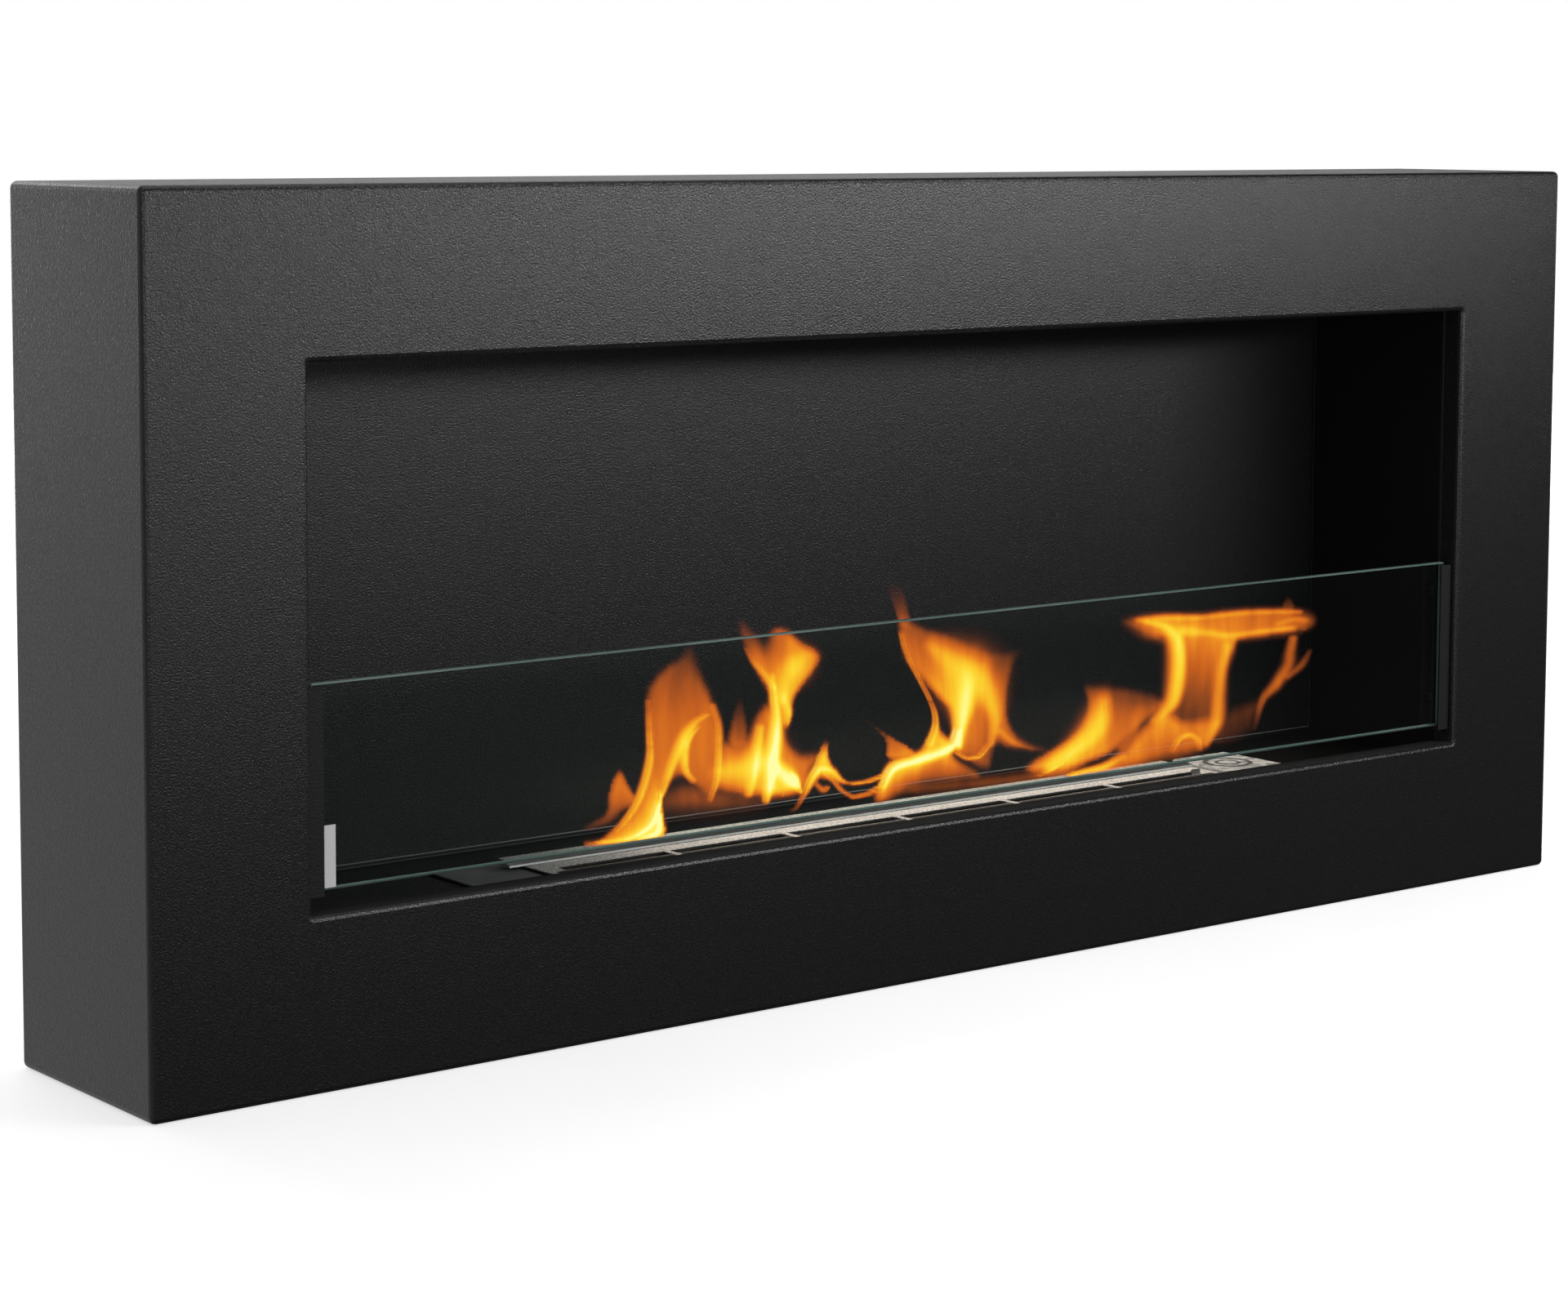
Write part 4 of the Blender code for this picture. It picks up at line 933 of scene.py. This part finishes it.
def veil_heat(veil, xs, zs):
    """One veil's heat over the grid: blended from its outline's points, and fading across its edge."""
    fade, points = veil
    outline = smooth_line(points, FLAME_STEP * 2.0, closed=True)
    reach = 2.0 * fade
    near_x = between(xs, outline[:, 0].min() - reach, outline[:, 0].max() + reach)
    near_z = between(zs, outline[:, 1].min() - reach, outline[:, 1].max() + reach)
    x, z = np.meshgrid(xs[near_x], zs[near_z], indexing="ij")
    inside = np.zeros(x.shape, bool)
    nearest = np.full(x.shape, np.inf)
    weights = np.zeros(x.shape)
    total = np.zeros(x.shape)
    for (x0, z0, warmth), (x1, z1, _) in zip(outline, np.roll(outline, -1, axis=0)):
        squares = (x - x0) ** 2 + (z - z0) ** 2
        nearest = np.minimum(nearest, squares)
        weight = 1.0 / (squares + VEIL_SOFTNESS) ** VEIL_FALL
        weights += weight
        total += weight * warmth / 100.0
        if z0 != z1:
            crosses = (z0 > z) != (z1 > z)
            inside ^= crosses & (x < (x1 - x0) * (z - z0) / (z1 - z0) + x0)
    distance = np.sqrt(nearest) * np.where(inside, 1.0, -1.0)
    share = np.clip(0.5 + distance / (2.0 * fade), 0.0, 1.0)
    heat = np.zeros((len(xs), len(zs)))
    heat[near_x, near_z] = total / weights * share * share * (3.0 - 2.0 * share)
    return heat


def heat_field(xs, zs):
    """The heat over a grid across and up, in millimetres: a smooth maximum of all veils and ribs."""
    total = np.zeros((len(xs), len(zs)))
    for veil in FLAME_VEILS:
        total += veil_heat(veil, xs, zs) ** FLAME_MERGE
    for rib in FLAME_RIBS:
        total += rib_heat(rib, xs, zs) ** FLAME_MERGE
    return np.minimum(total ** (1.0 / FLAME_MERGE), 1.0)


def flame_body(xs, zs, heat):
    """The flames' places, quads and heats: a front and a back sheet over the grid's lit cells.

    The sheets meet along the edge, where the heat is set to 0, and swell apart with the heat.
    """
    middle_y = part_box("front_casing")[0].y + FLAME_DEPTH
    plate_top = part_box("burner_top_plate")[1].z
    lit = heat > FLAME_EDGE_HEAT
    cells = lit[:-1, :-1] | lit[1:, :-1] | lit[:-1, 1:] | lit[1:, 1:]
    used = np.zeros_like(lit)
    for dx in (0, 1):
        for dz in (0, 1):
            used[dx : dx + cells.shape[0], dz : dz + cells.shape[1]] |= cells
    inner = np.zeros_like(lit)
    inner[1:-1, 1:-1] = cells[:-1, :-1] & cells[1:, :-1] & cells[:-1, 1:] & cells[1:, 1:]
    grid_x, grid_z = np.meshgrid(xs, zs, indexing="ij")
    swell = np.where(inner, FLAME_SKIN + FLAME_SWELL * np.sqrt(np.clip(heat, 0.0, 1.0)), 0.0)
    rise = np.clip((grid_z - plate_top) / FLAME_SWAY_HEIGHT, 0.0, 1.0)
    wave = np.sin(grid_x * FLAME_WAVES[0] + grid_z * FLAME_WAVES[1])
    middle = middle_y + FLAME_SWAY * wave * rise
    count = int(used.sum())
    places = np.zeros((2 * count, 3))
    for side, sign in ((0, -1.0), (1, 1.0)):
        sheet = places[side * count : (side + 1) * count]
        sheet[:, 0] = grid_x[used]
        sheet[:, 1] = (middle + sign * swell)[used]
        sheet[:, 2] = grid_z[used]
    number = -np.ones(lit.shape, int)
    number[used] = np.arange(count)
    quads = []
    for i, j in np.argwhere(cells):
        corners = [number[i, j], number[i + 1, j], number[i + 1, j + 1], number[i, j + 1]]
        quads.append(corners)
        quads.append([corner + count for corner in reversed(corners)])
    values = np.where(inner, heat, 0.0)[used]
    return places, quads, np.concatenate([values, values])


def build_flames(look):
    """One closed, thin, swollen body for all flames; its heat is a point attribute."""
    plate_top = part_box("burner_top_plate")[1].z
    xs = np.arange(FLAME_LEFT, FLAME_RIGHT, FLAME_GRID)
    zs = np.arange(plate_top + FLAME_GAP, FLAME_TOP, FLAME_GRID)
    places, quads, heats = flame_body(xs, zs, heat_field(xs / MM, zs / MM))
    mesh = bpy.data.meshes.new("flames")
    mesh.from_pydata(places.tolist(), [], quads)
    attribute = mesh.attributes.new("warmth", "FLOAT", "POINT")
    attribute.data.foreach_set("value", heats.astype(np.float32))
    thing = bmesh.new()
    thing.from_mesh(mesh)
    bmesh.ops.remove_doubles(thing, verts=thing.verts, dist=FLAME_WELD)
    thing.to_mesh(mesh)
    thing.free()
    for polygon in mesh.polygons:
        polygon.use_smooth = True
    flames = add_piece("flames", mesh, "burner", "stainless", look)
    flames.visible_diffuse = False
    flames.visible_shadow = False
    flames.visible_glossy = False


def build_stage():
    """The pale floor that the fireplace stands on; it isn't mirrored in the object."""
    make = Finish("floor_look")
    soft = make.noise(3.0, detail=3.0)
    base = make.ramp(soft, [(0.3, (0.80, 0.80, 0.80)), (0.7, (0.84, 0.84, 0.84))])
    away = make.nodes.new("ShaderNodeVectorMath")
    away.operation = "LENGTH"
    make.links.new(make.coordinates, away.inputs[0])
    glow = make.span(away.outputs["Value"], FLOOR_NEAR, FLOOR_FAR, FLOOR_GLOW, FLOOR_FAR_GLOW)
    surface = make.principled(
        Base_Color=base, Roughness=0.9, Specular_IOR_Level=0.1, Emission_Color=base, Emission_Strength=glow
    )
    material = make.done(surface)
    mesh = bpy.data.meshes.new("floor")
    level = cad_low.z - FLOOR_GAP
    signs = ((-1, -1), (1, -1), (1, 1), (-1, 1))
    corners = [(FLOOR_REACH * x, FLOOR_REACH * y, level) for x, y in signs]
    mesh.from_pydata(corners, [], [(0, 1, 2, 3)])
    mesh.materials.append(material)
    floor = bpy.data.objects.new("floor", mesh)
    bpy.context.scene.collection.objects.link(floor)
    floor.visible_glossy = False
    floor.visible_diffuse = False


def add_light(name, place, target, size, power, colour=WHITE, shiny=True):
    """A soft rectangular lamp that the camera doesn't see, and nothing mirrors if it isn't shiny."""
    data = bpy.data.lights.new(name, "AREA")
    data.shape = "RECTANGLE"
    data.size, data.size_y = size
    data.energy = power
    data.color = colour
    lamp = bpy.data.objects.new(name, data)
    bpy.context.scene.collection.objects.link(lamp)
    lamp.location = place
    lamp.rotation_euler = (Vector(target) - Vector(place)).to_track_quat("-Z", "Y").to_euler()
    lamp.visible_camera = False
    lamp.visible_glossy = shiny


def room_strength(nodes, links):
    """The strength of the room's light in each direction: dim, plus soft patches."""
    direction = nodes.new("ShaderNodeTexCoord").outputs["Generated"]
    total = None
    for side, edge, bright in ROOM_PATCHES:
        toward = nodes.new("ShaderNodeVectorMath")
        toward.operation = "DOT_PRODUCT"
        toward.inputs[1].default_value = side
        links.new(direction, toward.inputs[0])
        strength = nodes.new("ShaderNodeMapRange")
        strength.interpolation_type = "SMOOTHSTEP"
        strength.inputs["From Min"].default_value = edge
        strength.inputs["To Max"].default_value = bright
        links.new(toward.outputs["Value"], strength.inputs["Value"])
        step = nodes.new("ShaderNodeMath")
        step.inputs[0].default_value = ROOM_DARK
        if total:
            links.new(total, step.inputs[0])
        links.new(strength.outputs["Result"], step.inputs[1])
        total = step.outputs["Value"]
    return total


def build_room():
    """The surroundings: white to the camera, dim with soft patches as a light."""
    world = bpy.data.worlds.new("room")
    world.use_nodes = True
    nodes = world.node_tree.nodes
    links = world.node_tree.links
    nodes.clear()
    output = nodes.new("ShaderNodeOutputWorld")
    seen = nodes.new("ShaderNodeBackground")
    seen.inputs["Color"].default_value = (*WHITE, 1.0)
    lighting = nodes.new("ShaderNodeBackground")
    lighting.inputs["Color"].default_value = (*WHITE, 1.0)
    links.new(room_strength(nodes, links), lighting.inputs["Strength"])
    mix = nodes.new("ShaderNodeMixShader")
    rays = nodes.new("ShaderNodeLightPath")
    links.new(rays.outputs["Is Camera Ray"], mix.inputs["Fac"])
    links.new(lighting.outputs["Background"], mix.inputs[1])
    links.new(seen.outputs["Background"], mix.inputs[2])
    links.new(mix.outputs["Shader"], output.inputs["Surface"])
    bpy.context.scene.world = world


def build_lamps():
    """The studio's lamps, and a small one over the burner that stands in for the flames' light."""
    for name, place, target, size, power in LAMPS:
        add_light(name, place, target, size, power)
    plate_low, plate_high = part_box("burner_top_plate")
    middle_y = (plate_low.y + plate_high.y) / 2.0
    place = (BURNER_LAMP_X, middle_y + BURNER_LAMP_BACK, plate_high.z + BURNER_LAMP_UP)
    below = (BURNER_LAMP_X, middle_y, plate_high.z)
    add_light("burner_light", place, below, BURNER_LAMP_SIZE, BURNER_LAMP_POWER, FLAME_LIGHT, shiny=False)


def build_camera():
    """The camera, at the angle of the reference view."""
    data = bpy.data.cameras.new("camera")
    data.lens = CAMERA_LENS
    data.sensor_width = CAMERA_SENSOR
    data.sensor_fit = "HORIZONTAL"
    data.shift_y = CAMERA_SHIFT_UP
    data.clip_start = CAMERA_NEAREST
    data.clip_end = CAMERA_FARTHEST
    camera = bpy.data.objects.new("camera", data)
    bpy.context.scene.collection.objects.link(camera)
    turn = Matrix.Rotation(-CAMERA_YAW, 4, "Z")
    tilt = Matrix.Rotation(math.pi / 2.0 - CAMERA_PITCH, 4, "X")
    roll = Matrix.Rotation(CAMERA_ROLL, 4, "Z")
    camera.matrix_world = Matrix.Translation(CAMERA_PLACE) @ turn @ tilt @ roll
    bpy.context.scene.camera = camera


looks = slot_looks()
finish_nodes(looks)
build_pane(looks["glass"])
build_flames(flame_look())
build_stage()
build_room()
build_lamps()
build_camera()
bpy.context.scene.view_settings.view_transform = "Standard"
